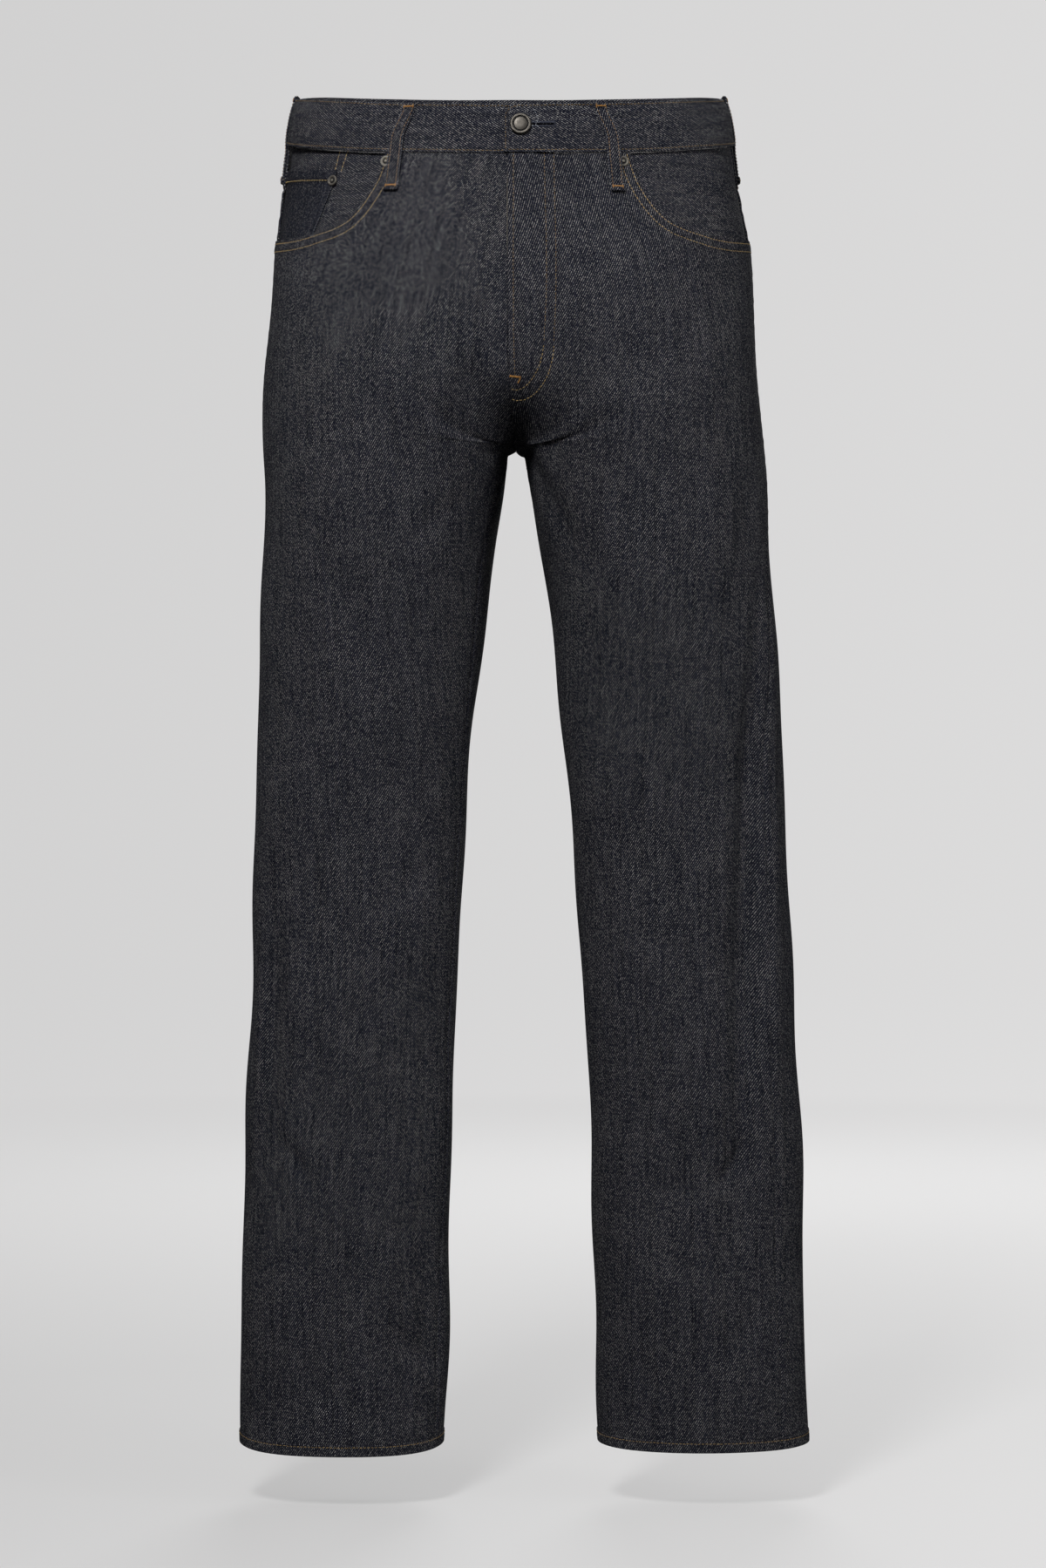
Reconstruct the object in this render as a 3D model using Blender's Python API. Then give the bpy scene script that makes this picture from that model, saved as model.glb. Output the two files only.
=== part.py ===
"""Straight leg jeans with five pockets, filled out as when worn, hollow and open at waist and hems.

Metres, +Z up, the front towards -Y and the wearer's left towards +X.  The origin is the centre of
the waistband's ring, where the wearer holds the garment up.  Every piece of cloth is a thin wall
that follows one surface: the outline of the trousers at a height, read from the SECTIONS table,
and a share of the way round that outline.  A piece lies on another by a lift along the normal.
"""

import math

import bmesh
import bpy
import numpy as np
from mathutils import Matrix, Vector

# Sides, as the wearer has them.
LEFT = 1
RIGHT = -1
SIDE_NAMES = {LEFT: "left", RIGHT: "right"}

# The trousers' outline at a row of heights.  outer, inner and seam are x, the last being the
# centre seam's; front, middle and back are y; crest is where between the inner and the outer edge
# the front and the back reach furthest.  Above the crotch the outline ends at the centre seam, and
# inner only places the crest.
SECTION_COLUMNS = ("z", "outer_left", "outer_right", "inner_left", "inner_right", "seam",
                   "front", "middle", "back", "crest")
SECTIONS = (
    (0.080, 0.1695, -0.1735, -0.0035, -0.0035, -0.0035, -0.0900, 0.000, 0.0960, 0.00),
    (0.020, 0.1745, -0.1778, -0.0035, -0.0035, -0.0035, -0.0930, 0.000, 0.0985, 0.00),
    (-0.020, 0.1795, -0.1822, -0.0035, -0.0035, -0.0035, -0.0970, 0.001, 0.1035, 0.00),
    (-0.050, 0.1836, -0.1858, -0.0035, -0.0035, -0.0035, -0.1010, 0.003, 0.1115, 0.02),
    (-0.094, 0.1918, -0.1923, -0.0033, -0.0037, -0.0035, -0.1090, 0.006, 0.1240, 0.10),
    (-0.151, 0.1958, -0.1965, -0.0015, -0.0045, -0.0035, -0.1155, 0.007, 0.1325, 0.21),
    (-0.207, 0.1985, -0.2001, 0.0025, -0.0050, -0.0025, -0.1135, 0.004, 0.1305, 0.33),
    (-0.2625, 0.2022, -0.2020, 0.0090, -0.0035, 0.0030, -0.1065, 0.001, 0.1200, 0.43),
    (-0.292, 0.2050, -0.2016, 0.0145, -0.0060, 0.0035, -0.1020, 0.000, 0.1135, 0.465),
    (-0.335, 0.2086, -0.2018, 0.0212, -0.0127, 0.0040, -0.0955, 0.001, 0.1040, 0.490),
    (-0.419, 0.2142, -0.2048, 0.0336, -0.0247, 0.0045, -0.0820, 0.002, 0.0875, 0.50),
    (-0.547, 0.2206, -0.2080, 0.0454, -0.0368, 0.0045, -0.0640, 0.003, 0.0700, 0.50),
    (-0.674, 0.2269, -0.2116, 0.0562, -0.0440, 0.0060, -0.0555, 0.005, 0.0630, 0.50),
    (-0.801, 0.2338, -0.2158, 0.0629, -0.0493, 0.0065, -0.0515, 0.007, 0.0620, 0.50),
    (-0.928, 0.2364, -0.2199, 0.0660, -0.0511, 0.0070, -0.0480, 0.008, 0.0610, 0.50),
    (-1.0655, 0.2400, -0.2215, 0.0702, -0.0553, 0.0075, -0.0440, 0.009, 0.0610, 0.50),
    (-1.120, 0.2412, -0.2220, 0.0716, -0.0570, 0.0075, -0.0430, 0.009, 0.0610, 0.50),
)
CROTCH_Z = -0.2625
HEM_Z = -1.0655
FRONT_FORK = 0.065          # height over which the front rise curves under to the crotch
BACK_FORK = 0.100
APEX_RADIUS = 0.006         # rounding where the two legs part
ROUNDNESS = 2.2             # exponent of the outline's arcs, 2 being an ellipse

# How far round the leg its two seams are turned, in degrees; the wearer's left leg turns its
# outseam to the front, and the right leg its inseam.
TWIST_COLUMNS = ("below", "inseam_left", "inseam_right", "outseam_left", "outseam_right")
TWIST = (
    (-0.14, 0.0, 0.0, 0.0, 0.0),
    (-0.05, 0.0, 0.0, -4.0, 2.0),
    (0.00, 0.0, 0.0, -9.0, 5.0),
    (0.03, -12.0, 20.0, -14.0, 9.0),
    (0.10, -22.0, 28.0, -23.0, 17.0),
    (0.25, -28.0, 20.0, -33.0, 24.0),
    (0.52, -34.0, 18.0, -39.0, 24.0),
    (0.82, -34.0, 22.0, -38.0, 24.0),
)

# The largest folds: soft troughs along the cloth.  top and bottom are z, the two shares say where
# round the outline a trough starts and ends, and width and depth are in metres.
FOLD_COLUMNS = ("side", "top", "bottom", "share_top", "share_bottom", "width", "depth")
FOLDS = (
    (LEFT, -0.400, -0.930, 0.352, 0.322, 0.017, 0.0050),
    (LEFT, -0.250, -0.370, 0.050, 0.150, 0.014, 0.0030),
    (LEFT, -0.300, -0.420, 0.700, 0.800, 0.018, 0.0040),
    (LEFT, -0.500, -0.620, 0.860, 0.680, 0.018, 0.0050),
    (LEFT, -0.560, -0.690, 0.700, 0.840, 0.016, 0.0040),
    (LEFT, -0.820, -0.990, 0.800, 0.700, 0.018, 0.0030),
    (RIGHT, -0.195, -0.262, 0.020, 0.085, 0.014, 0.0030),
    (RIGHT, -0.600, -0.860, 0.385, 0.372, 0.015, 0.0035),
    (RIGHT, -0.290, -0.400, 0.720, 0.820, 0.018, 0.0040),
    (RIGHT, -0.490, -0.600, 0.700, 0.870, 0.018, 0.0050),
    (RIGHT, -0.570, -0.700, 0.830, 0.690, 0.016, 0.0040),
    (RIGHT, -0.860, -1.010, 0.140, 0.060, 0.016, 0.0030),
)

# Cloth and seams.
CLOTH = 0.0012
THIN_CLOTH = 0.0010
GAP = 0.0003

# The waistband is a ring that dips at the front: its middle line is
# z = BAND_SIDE_Z + BAND_TILT * y - BAND_BOW * y * y.
BAND_SIDE_Z = 0.0052
BAND_TILT = 0.200
BAND_BOW = 0.468
BAND_HALF = 0.0195
BAND_WALL = 0.0024
BAND_LAP = 0.0350           # how far the button end lies under the buttonhole end
BAND_LAP_START = -0.0030    # the buttonhole end, along the ring from the centre seam
BAND_LAP_LIFT = 0.0015
BAND_CORNER = 0.0110
BAND_COLUMNS = 92

# Front panels.
MOUTH_COLUMNS = ("across", "z")
MOUTH = ((0.0965, -0.0360), (0.1055, -0.0600), (0.1265, -0.0868), (0.1560, -0.0962))
MOUTH_END_Z = -0.0922       # where the pocket mouth meets the side seam
SIDE_SHARE = 0.5            # the side seam, as a share of the outline above the crotch
MOUTH_ROWS = 12
FORK_ROWS = 8
LEG_ROWS = 14
APEX_DROPS = (0.0015, 0.004, 0.010, 0.022, 0.040)
FRONT_COLUMNS = 13
BACK_COLUMNS = 17
FLY_LIFT = 0.0010
FLY_WIDTH = 0.036
FLY_END_Z = -0.212

# Back yokes and back pockets.
YOKE_AT_SIDE = 0.035
YOKE_AT_BACK = 0.075
BACK_POCKET_WIDTH = 0.150
BACK_POCKET_FOOT = 0.134
BACK_POCKET_HEIGHT = 0.132
BACK_POCKET_POINT = 0.018
BACK_POCKET_CENTRE = 0.108  # along the cloth from the centre back seam
BACK_POCKET_TOP_Z = -0.095
BACK_POCKET_SLOPE = 0.07
BACK_POCKET_LIFT = 0.0009

# Front pockets, measured across from the centre seam.
FACING_START = 0.082
FACING_FOOT_Z = -0.126
FACING_LIFT = {LEFT: -0.0022, RIGHT: -0.0038}
COIN_LIFT = -0.0022
COIN_INNER = ((0.1395, -0.046), (0.1480, -0.122))
COIN_SIDE_Z = -0.033
BAG_START = 0.078
BAG_FOOT_Z = -0.240
BAG_LIFT = {LEFT: -0.0050, RIGHT: -0.0066}

# Fly.
ZIP_SPAN = (-0.011, 0.012)
ZIP_FOOT_Z = -0.192
ZIP_LIFT = -0.0018
SHIELD_SPAN = (-0.014, 0.036)
SHIELD_FOOT_Z = -0.200
SHIELD_LIFT = -0.0034

# Hems.
HEM_HEIGHT = 0.0095
HEM_WALL = 0.0030
HEM_FLARE = 0.0006
HEM_COLUMNS = 36

# Belt loops: the gap profile of the strip from its top to its foot.
LOOP_WIDTH = 0.0106
LOOP_WALL = 0.0016
LOOP_FOLD = 0.0012
LOOP_BELOW_BAND = 0.0320
LOOP_COLUMNS = ("way", "lift")
LOOP_PROFILE = ((0.0, 0.0017), (0.08, 0.0018), (0.28, 0.0035), (0.55, 0.0039), (0.78, 0.0036),
                (0.91, 0.0009), (1.0, 0.0006))
LOOP_ROWS = 13

# Metal.
BUTTON_ACROSS = 0.0100      # from the centre seam, on the wearer's left
BUTTON_Z = -0.0151
BUTTON_RADIUS = 0.0085
BUTTONHOLE_EYE = 0.0031
BUTTONHOLE_SLIT = 0.0012
BUTTONHOLE_END = 0.0370
RIVET_RADIUS = 0.0044
RIVETS = (("rivet_mouth_left", LEFT, 0.0912, -0.0422, 0.0004),
          ("rivet_mouth_right", RIGHT, 0.0958, -0.0422, 0.0004),
          ("rivet_coin", RIGHT, 0.1402, -0.0537, -0.0015))
TURN_STEPS = 24

# Finish: colour, roughness, metallic.
RAW_DENIM = ((0.040, 0.042, 0.050), 0.92, 0.0)
BAND_DENIM = ((0.042, 0.042, 0.049), 0.92, 0.0)
COIN_DENIM = ((0.026, 0.026, 0.036), 0.92, 0.0)
POCKETING = ((0.62, 0.60, 0.55), 0.9, 0.0)
TAPE = ((0.10, 0.09, 0.07), 0.8, 0.0)
NICKEL = ((0.48, 0.44, 0.37), 0.36, 1.0)


# ---------------------------------------------------------------- the surface

def columns_of(table, names):
    """A table's columns by name."""
    return {name: np.array([row[i] for row in table]) for i, name in enumerate(names)}


def through(x, knots, values):
    """Smooth curve through (knots, values): cubic pieces that share their slopes at the knots."""
    slopes = np.gradient(values, knots)
    x = np.clip(x, knots[0], knots[-1])
    i = np.clip(np.searchsorted(knots, x) - 1, 0, len(knots) - 2)
    width = knots[i + 1] - knots[i]
    t = (x - knots[i]) / width
    start = (1 + 2 * t) * (1 - t) ** 2 * values[i] + t * (1 - t) ** 2 * width * slopes[i]
    end = t * t * (3 - 2 * t) * values[i + 1] + t * t * (t - 1) * width * slopes[i + 1]
    return start + end


def at_height(name, z):
    """A column of the SECTIONS table at heights z."""
    table = columns_of(SECTIONS[::-1], SECTION_COLUMNS)
    return through(z, table["z"], table[name])


def turned(name, z):
    """A seam's turn at heights z, as a share of the outline."""
    table = columns_of(TWIST, TWIST_COLUMNS)
    return np.interp(CROTCH_Z - z, table["below"], table[name]) / 360.0


def ease(t):
    """Smooth step from 0 to 1."""
    t = np.clip(t, 0.0, 1.0)
    return t * t * (3 - 2 * t)


def outline(side, z):
    """Outlines of one half of the trousers at heights z, as x and y arrays with a row for each.

    Above the crotch an outline is open and runs from the centre front round the side to the
    centre back; below it is closed and starts and ends at the inside of the leg.
    """
    name = SIDE_NAMES[side]
    z = np.asarray(z, dtype=float)[:, None]
    below = CROTCH_Z - z
    seam = at_height("seam", z)
    rounding = np.sqrt(1 - (1 - np.clip(below / APEX_RADIUS, 0, 1)) ** 2)
    inner = at_height("inner_" + name, z)
    outer = at_height("outer_" + name, z)
    crest = inner + (outer - inner) * np.clip(at_height("crest", z), 0, 0.5)
    end = seam + (inner - seam) * rounding
    front, middle, back = (at_height(key, z) for key in ("front", "middle", "back"))

    run = np.linspace(0, 1, 25)[None, :] ** ROUNDNESS
    run_x = inner + (crest - inner) * run + (end - inner) * (1 - run) ** 6
    settle = 1 + np.sqrt(run)
    front_fork = 1 - np.clip(-below / FRONT_FORK, 0, 1) ** settle
    back_fork = 1 - np.clip(-below / BACK_FORK, 0, 1) ** settle
    front_y = middle + (front - middle) * (1 - (front_fork * (1 - run)) ** ROUNDNESS) ** (
        1 / ROUNDNESS)
    back_y = middle + (back - middle) * (1 - (back_fork * (1 - run)) ** ROUNDNESS) ** (
        1 / ROUNDNESS)

    turn = np.linspace(-math.pi / 2, math.pi / 2, 83)[None, 1:-1]
    reach = np.cos(turn) ** (2 / ROUNDNESS)
    swing = np.sign(turn) * np.abs(np.sin(turn)) ** (2 / ROUNDNESS)
    side_x = crest + (outer - crest) * reach
    side_y = middle + np.where(turn < 0, middle - front, back - middle) * swing
    x = np.concatenate([run_x, side_x, run_x[:, ::-1]], axis=1)
    y = np.concatenate([front_y, side_y, back_y[:, ::-1]], axis=1)
    return x, y


def lengths(x, y):
    """Distance run along each outline, at each of its points."""
    steps = np.hypot(np.diff(x, axis=1), np.diff(y, axis=1))
    return np.concatenate([np.zeros((len(x), 1)), np.cumsum(steps, axis=1)], axis=1)


def outline_length(side, z):
    """Length of the outline at heights z."""
    shape = np.shape(z)
    return lengths(*outline(side, np.ravel(z)))[:, -1].reshape(shape)


def bare(side, share, z):
    """Points of the bare surface at a share of the way round the outline, at heights z."""
    share, z = np.broadcast_arrays(np.asarray(share, float), np.asarray(z, float))
    heights = z.ravel()
    shares = np.where(heights < CROTCH_Z, share.ravel() % 1.0, np.clip(share.ravel(), 0, 1))
    x, y = outline(side, heights)
    run = lengths(x, y)
    goal = shares * run[:, -1]
    after = np.clip((run < goal[:, None]).sum(axis=1), 1, run.shape[1] - 1)[:, None]
    pick = [np.take_along_axis(a, after + k, axis=1)[:, 0] for a in (run, x, y) for k in (-1, 0)]
    way = (goal - pick[0]) / np.maximum(pick[1] - pick[0], 1e-9)
    points = np.stack([pick[2] + (pick[3] - pick[2]) * way,
                       pick[4] + (pick[5] - pick[4]) * way, heights], axis=-1)
    return points.reshape(share.shape + (3,))


def fold_depth(side, share, z):
    """How far the folds sink the cloth at a share and a height."""
    depth = np.zeros(np.shape(z))
    for row in FOLDS:
        fold = dict(zip(FOLD_COLUMNS, row))
        if fold["side"] != side:
            continue
        way = (fold["top"] - z) / (fold["top"] - fold["bottom"])
        centre = fold["share_top"] + (fold["share_bottom"] - fold["share_top"]) * way
        off = (share - centre) * outline_length(side, z) / fold["width"]
        depth += fold["depth"] * np.sin(math.pi * np.clip(way, 0, 1)) * np.exp(-off * off)
    return depth


def skin(side, share, z, lift=0.0):
    """Points of the cloth, moved out by lift along the surface's normal."""
    share, z, lift = np.broadcast_arrays(*(np.asarray(a, float) for a in (share, z, lift)))
    along = bare(side, share + 0.003, z) - bare(side, share - 0.003, z)
    up = bare(side, share, z + 0.0015) - bare(side, share, z - 0.0015)
    normal = side * np.cross(along, up)
    normal /= np.linalg.norm(normal, axis=-1, keepdims=True)
    points = bare(side, share, z) + normal * (lift - fold_depth(side, share, z))[..., None]
    beside = at_height("seam", z) + side * GAP / 2
    edge = side * np.maximum(side * points[..., 0], side * beside)
    points[..., 0] = np.where(z > CROTCH_Z - APEX_RADIUS / 4, edge, points[..., 0])
    return points


def share_at(side, across, z, back=False):
    """Share of the outline at a distance across from the centre seam, on its front or back."""
    x, y = (a[0] for a in outline(side, [z]))
    run = lengths(x[None, :], y[None, :])[0]
    off = side * (x - float(at_height("seam", np.array(z))))
    widest = int(np.argmax(off))
    if back:
        off, run = off[widest:][::-1], run[widest:][::-1]
        return float(np.interp(across, off, run / run.max()))
    return float(np.interp(across, off[:widest + 1], run[:widest + 1] / run[-1]))


def band_line(side, share):
    """Height of the waistband's middle line."""
    y = bare(side, share, 0.0)[..., 1]
    return BAND_SIDE_Z + BAND_TILT * y - BAND_BOW * y * y


def band_foot(side, share):
    """Height of the top edge of whatever is sewn under the waistband."""
    return band_line(side, share) - BAND_HALF - GAP


def ring_points(distance, up, lift):
    """Points on the ring of the waist: distance runs from the centre front over the wearer's left.

    up is the height over the band's middle line.  A distance below zero, or past the whole
    girth, runs on over the other half's front.
    """
    left = float(outline_length(LEFT, np.array([0.0]))[0])
    right = float(outline_length(RIGHT, np.array([0.0]))[0])
    distance, up, lift = np.broadcast_arrays(distance, up, lift)
    again = distance > left + right
    on_left = (distance >= 0) & (distance <= left) | again
    left_share = np.where(again, distance - left - right, distance) / left
    right_share = np.where(distance < 0, -distance, left + right - distance) / right
    result = np.zeros(distance.shape + (3,))
    for side, share, mask in ((LEFT, left_share, on_left), (RIGHT, right_share, ~on_left)):
        share = np.clip(share[mask], 0, 1)
        points = free_skin(side, share, band_line(side, share) + up[mask], lift[mask])
        result[mask] = points
    return result


def free_skin(side, share, z, lift):
    """As skin, but a point may reach the centre seam itself."""
    points = skin(side, share, z, lift)
    at_seam = np.isclose(share, 0.0) | np.isclose(share, 1.0)
    points[..., 0] = np.where(at_seam, at_height("seam", np.asarray(z)), points[..., 0])
    return points


# ---------------------------------------------------------------- meshes

def material(name, finish):
    """Principled material with a colour, a roughness and a metallic value."""
    colour, roughness, metallic = finish
    result = bpy.data.materials.new(name)
    result.use_nodes = True
    shader = result.node_tree.nodes["Principled BSDF"]
    shader.inputs["Base Color"].default_value = (*colour, 1.0)
    shader.inputs["Roughness"].default_value = roughness
    shader.inputs["Metallic"].default_value = metallic
    result.diffuse_color = (*colour, 1.0)
    return result


def add_object(name, mesh, finish):
    """Link a mesh as a named object with its own material, shaded smooth but for its edges."""
    mesh.materials.append(material(name, finish))
    mesh.shade_smooth()
    mesh.set_sharp_from_angle(angle=math.radians(40))
    result = bpy.data.objects.new(name, mesh)
    bpy.context.scene.collection.objects.link(result)
    return result


def wall_mesh(name, outer, inner, ring=False):
    """Closed mesh between two grids of points; a ring joins its last column to its first."""
    rows, columns = outer.shape[:2]
    points = np.concatenate([outer.reshape(-1, 3), inner.reshape(-1, 3)])
    back = rows * columns
    faces = []

    def index(row, column):
        return row * columns + column % columns

    last = columns if ring else columns - 1
    for row in range(rows - 1):
        for column in range(last):
            quad = (index(row, column), index(row, column + 1),
                    index(row + 1, column + 1), index(row + 1, column))
            faces.append(quad)
            faces.append(tuple(back + i for i in reversed(quad)))
    for row in (0, rows - 1):
        for column in range(last):
            a, b = index(row, column), index(row, column + 1)
            faces.append((a, b, back + b, back + a))
    if not ring:
        for column in (0, columns - 1):
            for row in range(rows - 1):
                a, b = index(row, column), index(row + 1, column)
                faces.append((a, b, back + b, back + a))
    mesh = bpy.data.meshes.new(name)
    mesh.from_pydata(points.tolist(), [], faces)
    tidy = bmesh.new()
    tidy.from_mesh(mesh)
    bmesh.ops.recalc_face_normals(tidy, faces=tidy.faces)
    tidy.to_mesh(mesh)
    tidy.free()
    return mesh


def cloth_wall(name, side, share, z, lift, thickness, finish, ring=False):
    """A cloth piece over a grid of shares and heights, its outer face at lift."""
    outer = skin(side, share, z, lift)
    inner = skin(side, share, z, np.asarray(lift) - thickness)
    return add_object(name, wall_mesh(name, outer, inner, ring), finish)


def even_run(points, count):
    """Points evenly spaced along a polyline."""
    steps = np.linalg.norm(np.diff(points, axis=0), axis=1)
    run = np.concatenate([[0.0], np.cumsum(steps)])
    goals = np.linspace(0, run[-1], count)
    return np.stack([np.interp(goals, run, points[:, k]) for k in range(points.shape[1])], axis=1)


def fork_heights(side, share, start_z, count):
    """Heights that space points evenly along the centre seam, from start_z down to the crotch."""
    z = CROTCH_Z + (start_z - CROTCH_Z) * np.linspace(1, 0, 400) ** 3
    seam = bare(side, share, z)
    return even_run(seam[:, 1:], count)[:, 1]


def side_heights():
    """Heights of the rows at the side seam, from the pocket mouth's end down to the crotch."""
    return np.linspace(MOUTH_END_Z, CROTCH_Z, FORK_ROWS + 1)


def leg_heights():
    """Heights of the rows from just under the crotch down to the hem's top."""
    foot = CROTCH_Z - HEM_Z - HEM_HEIGHT - GAP
    even = np.linspace(APEX_DROPS[-1], foot, LEG_ROWS + 1)[1:]
    return CROTCH_Z - np.concatenate([APEX_DROPS, even])


# ---------------------------------------------------------------- cloth pieces

def mouth_line(side):
    """The pocket mouth as shares and heights, from the waistband to the side seam."""
    mouth = columns_of(MOUTH, MOUTH_COLUMNS)
    points = [(share_at(side, across, z), z) for across, z in zip(mouth["across"], mouth["z"])]
    points = np.array(points + [(SIDE_SHARE, MOUTH_END_Z)])
    points[0, 1] = band_foot(side, points[0, 0])
    knots = np.concatenate([[0.0], np.cumsum(np.hypot(*(np.diff(points, axis=0)
                                                        * (0.45, 1.0)).T))])
    fine = np.linspace(0, knots[-1], 200)
    curve = np.stack([through(fine, knots, points[:, k]) for k in (0, 1)], axis=1)
    return even_run(curve * (0.45, 1.0), MOUTH_ROWS) / (0.45, 1.0)


def front_grid(side):
    """Shares and heights of a front panel's grid."""
    name = SIDE_NAMES[side]
    mouth = mouth_line(side)
    leg = leg_heights()
    half_gap = GAP / 2 / outline_length(side, np.concatenate([[CROTCH_Z], leg]))

    rise = fork_heights(side, 0.0, band_foot(side, 0.0), MOUTH_ROWS + FORK_ROWS)
    side_z = side_heights()[1:]
    inner_z = np.concatenate([rise, leg])
    outer_z = np.concatenate([mouth[:, 1], side_z, leg])
    inner_share = np.concatenate([np.zeros(len(rise) - 1), turned("inseam_" + name,
                                  np.concatenate([[CROTCH_Z], leg])) + half_gap])
    outer_share = np.concatenate([mouth[:, 0], SIDE_SHARE + turned("outseam_" + name,
                                  np.concatenate([side_z, leg]))])
    outer_share[MOUTH_ROWS:] -= GAP / 2 / outline_length(side, outer_z[MOUTH_ROWS:])

    way = np.linspace(0, 1, FRONT_COLUMNS)[None, :]
    share = inner_share[:, None] + (outer_share - inner_share)[:, None] * way
    z = inner_z[:, None] + (outer_z - inner_z)[:, None] * way
    fade = np.clip(1 - np.arange(len(z)) / (MOUTH_ROWS - 1), 0, 1)[:, None]
    z = z + (band_foot(side, share[0]) - z[0])[None, :] * fade
    return share, z


def back_grid(side):
    """Shares and heights of a back panel's grid, from the side to the centre back."""
    name = SIDE_NAMES[side]
    leg = leg_heights()
    low = np.concatenate([[CROTCH_Z], leg])
    side_z = np.linspace(yoke_line(side, SIDE_SHARE) - GAP / 2, MOUTH_END_Z, 4)[:-1]
    side_z = np.concatenate([side_z, side_heights()])
    rows = len(side_z)
    rise = fork_heights(side, 1.0, yoke_line(side, 1.0) - GAP / 2, rows)
    outer_z = np.concatenate([side_z, leg])
    inner_z = np.concatenate([rise, leg])
    outer_share = SIDE_SHARE + turned("outseam_" + name, outer_z)
    outer_share = outer_share + GAP / 2 / outline_length(side, outer_z)
    inner_share = np.concatenate([np.ones(rows - 1), 1 + turned("inseam_" + name, low)
                                  - GAP / 2 / outline_length(side, low)])
    way = np.linspace(0, 1, BACK_COLUMNS)[None, :]
    share = outer_share[:, None] + (inner_share - outer_share)[:, None] * way
    z = outer_z[:, None] + (inner_z - outer_z)[:, None] * way
    return share, z


def yoke_line(side, share):
    """Height of the yoke seam: it drops from the side seam to the centre back."""
    way = (np.asarray(share) - SIDE_SHARE) / (1 - SIDE_SHARE)
    ends = [band_line(side, s) - BAND_HALF for s in (SIDE_SHARE, 1.0)]
    return (ends[0] - YOKE_AT_SIDE) * (1 - way) + (ends[1] - YOKE_AT_BACK) * way


def fly_lift(side, share, z):
    """The wearer's left front stands proud over the fly, where it is folded and lapped."""
    if side == RIGHT:
        return np.zeros(np.shape(z))
    off = share * outline_length(side, z)
    return FLY_LIFT * (1 - ease((off - 0.012) / FLY_WIDTH)) * ease((z - FLY_END_Z) / 0.02)


def build_panels():
    """Front and back leg panels and the yokes."""
    for side, name in SIDE_NAMES.items():
        share, z = front_grid(side)
        cloth_wall("front_" + name, side, share, z, fly_lift(side, share, z), CLOTH, RAW_DENIM)
        share, z = back_grid(side)
        cloth_wall("back_" + name, side, share, z, 0.0, CLOTH, RAW_DENIM)

        edge = GAP / 2 / float(outline_length(side, np.array([0.0]))[0])
        share = np.linspace(SIDE_SHARE + edge, 1.0, BACK_COLUMNS)[None, :]
        down = np.linspace(0, 1, 5)[:, None]
        z = band_foot(side, share) * (1 - down) + (yoke_line(side, share) + GAP / 2) * down
        share = np.broadcast_to(share, z.shape)
        cloth_wall("yoke_" + name, side, share, z, 0.0, CLOTH, RAW_DENIM)


def build_hems():
    """The turned-up hem of each leg, a ring of folded cloth."""
    for side, name in SIDE_NAMES.items():
        share = np.linspace(0, 1, HEM_COLUMNS, endpoint=False)[None, :]
        z = HEM_Z + np.linspace(HEM_HEIGHT, 0, 3)[:, None]
        share, z = np.broadcast_arrays(share, z)
        cloth_wall("hem_" + name, side, share, z, HEM_FLARE, HEM_WALL, RAW_DENIM, ring=True)


def band_lift(distance, girth):
    """The band's buttonhole end rises over its button end, which sinks by as much."""
    over = 1 - ease((distance - BAND_LAP - 0.002) / 0.035)
    under = ease((distance - girth + 0.045) / 0.035)
    return BAND_LAP_LIFT * (over - under)


def build_waistband():
    """The waistband: one strip round the waist, lapped at the front, with a keyhole buttonhole."""
    girth = float(sum(outline_length(side, np.array([0.0]))[0] for side in SIDE_NAMES))
    lap = np.linspace(BAND_LAP_START, BAND_LAP, 12)
    rounded = BAND_LAP_START + BAND_CORNER * np.array([0.0, 0.05, 0.17, 0.38, 0.66])
    lap = np.concatenate([rounded, lap[lap > rounded[-1] + 0.002]])
    rest = np.linspace(BAND_LAP, girth + BAND_LAP, BAND_COLUMNS)[1:]
    distance = np.concatenate([lap, rest])[None, :]
    into = np.clip(1 - (distance - BAND_LAP_START) / BAND_CORNER, 0, 1)
    trim = BAND_CORNER * (1 - np.sqrt(1 - into * into))
    way = np.linspace(1, 0, 4)[:, None]
    up = -BAND_HALF + (2 * BAND_HALF - trim) * way
    distance = np.broadcast_to(distance, up.shape)
    lift = band_lift(distance, girth)
    outer = ring_points(distance, up, lift + BAND_WALL / 2)
    inner = ring_points(distance, up, lift - BAND_WALL / 2)
    band = add_object("waistband", wall_mesh("waistband", outer, inner), BAND_DENIM)

    slit = np.linspace(BUTTON_ACROSS, BUTTONHOLE_END, 8)[None, :]
    height = BUTTON_Z - float(band_line(LEFT, share_at(LEFT, BUTTON_ACROSS, BUTTON_Z)))
    edges = height + BUTTONHOLE_SLIT * np.array([[0.5], [-0.5]])
    slit, edges = np.broadcast_arrays(slit, edges)
    cutter = wall_mesh("buttonhole_slit", ring_points(slit, edges, 0.0060),
                       ring_points(slit, edges, 0.0))
    eye = turned_mesh("buttonhole_eye", ((0.0, 0.0), (BUTTONHOLE_EYE, 0.0),
                                         (BUTTONHOLE_EYE, 0.006), (0.0, 0.006)), 16)
    eye.transform(on_skin(LEFT, BUTTON_ACROSS, BUTTON_Z, 0.0))
    for mesh in (cutter, eye):
        tool = bpy.data.objects.new(mesh.name, mesh)
        bpy.context.scene.collection.objects.link(tool)
        tool.hide_render = True
        tool.display_type = "WIRE"
        cut = band.modifiers.new(mesh.name, "BOOLEAN")
        cut.operation = "DIFFERENCE"
        cut.object = tool


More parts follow.
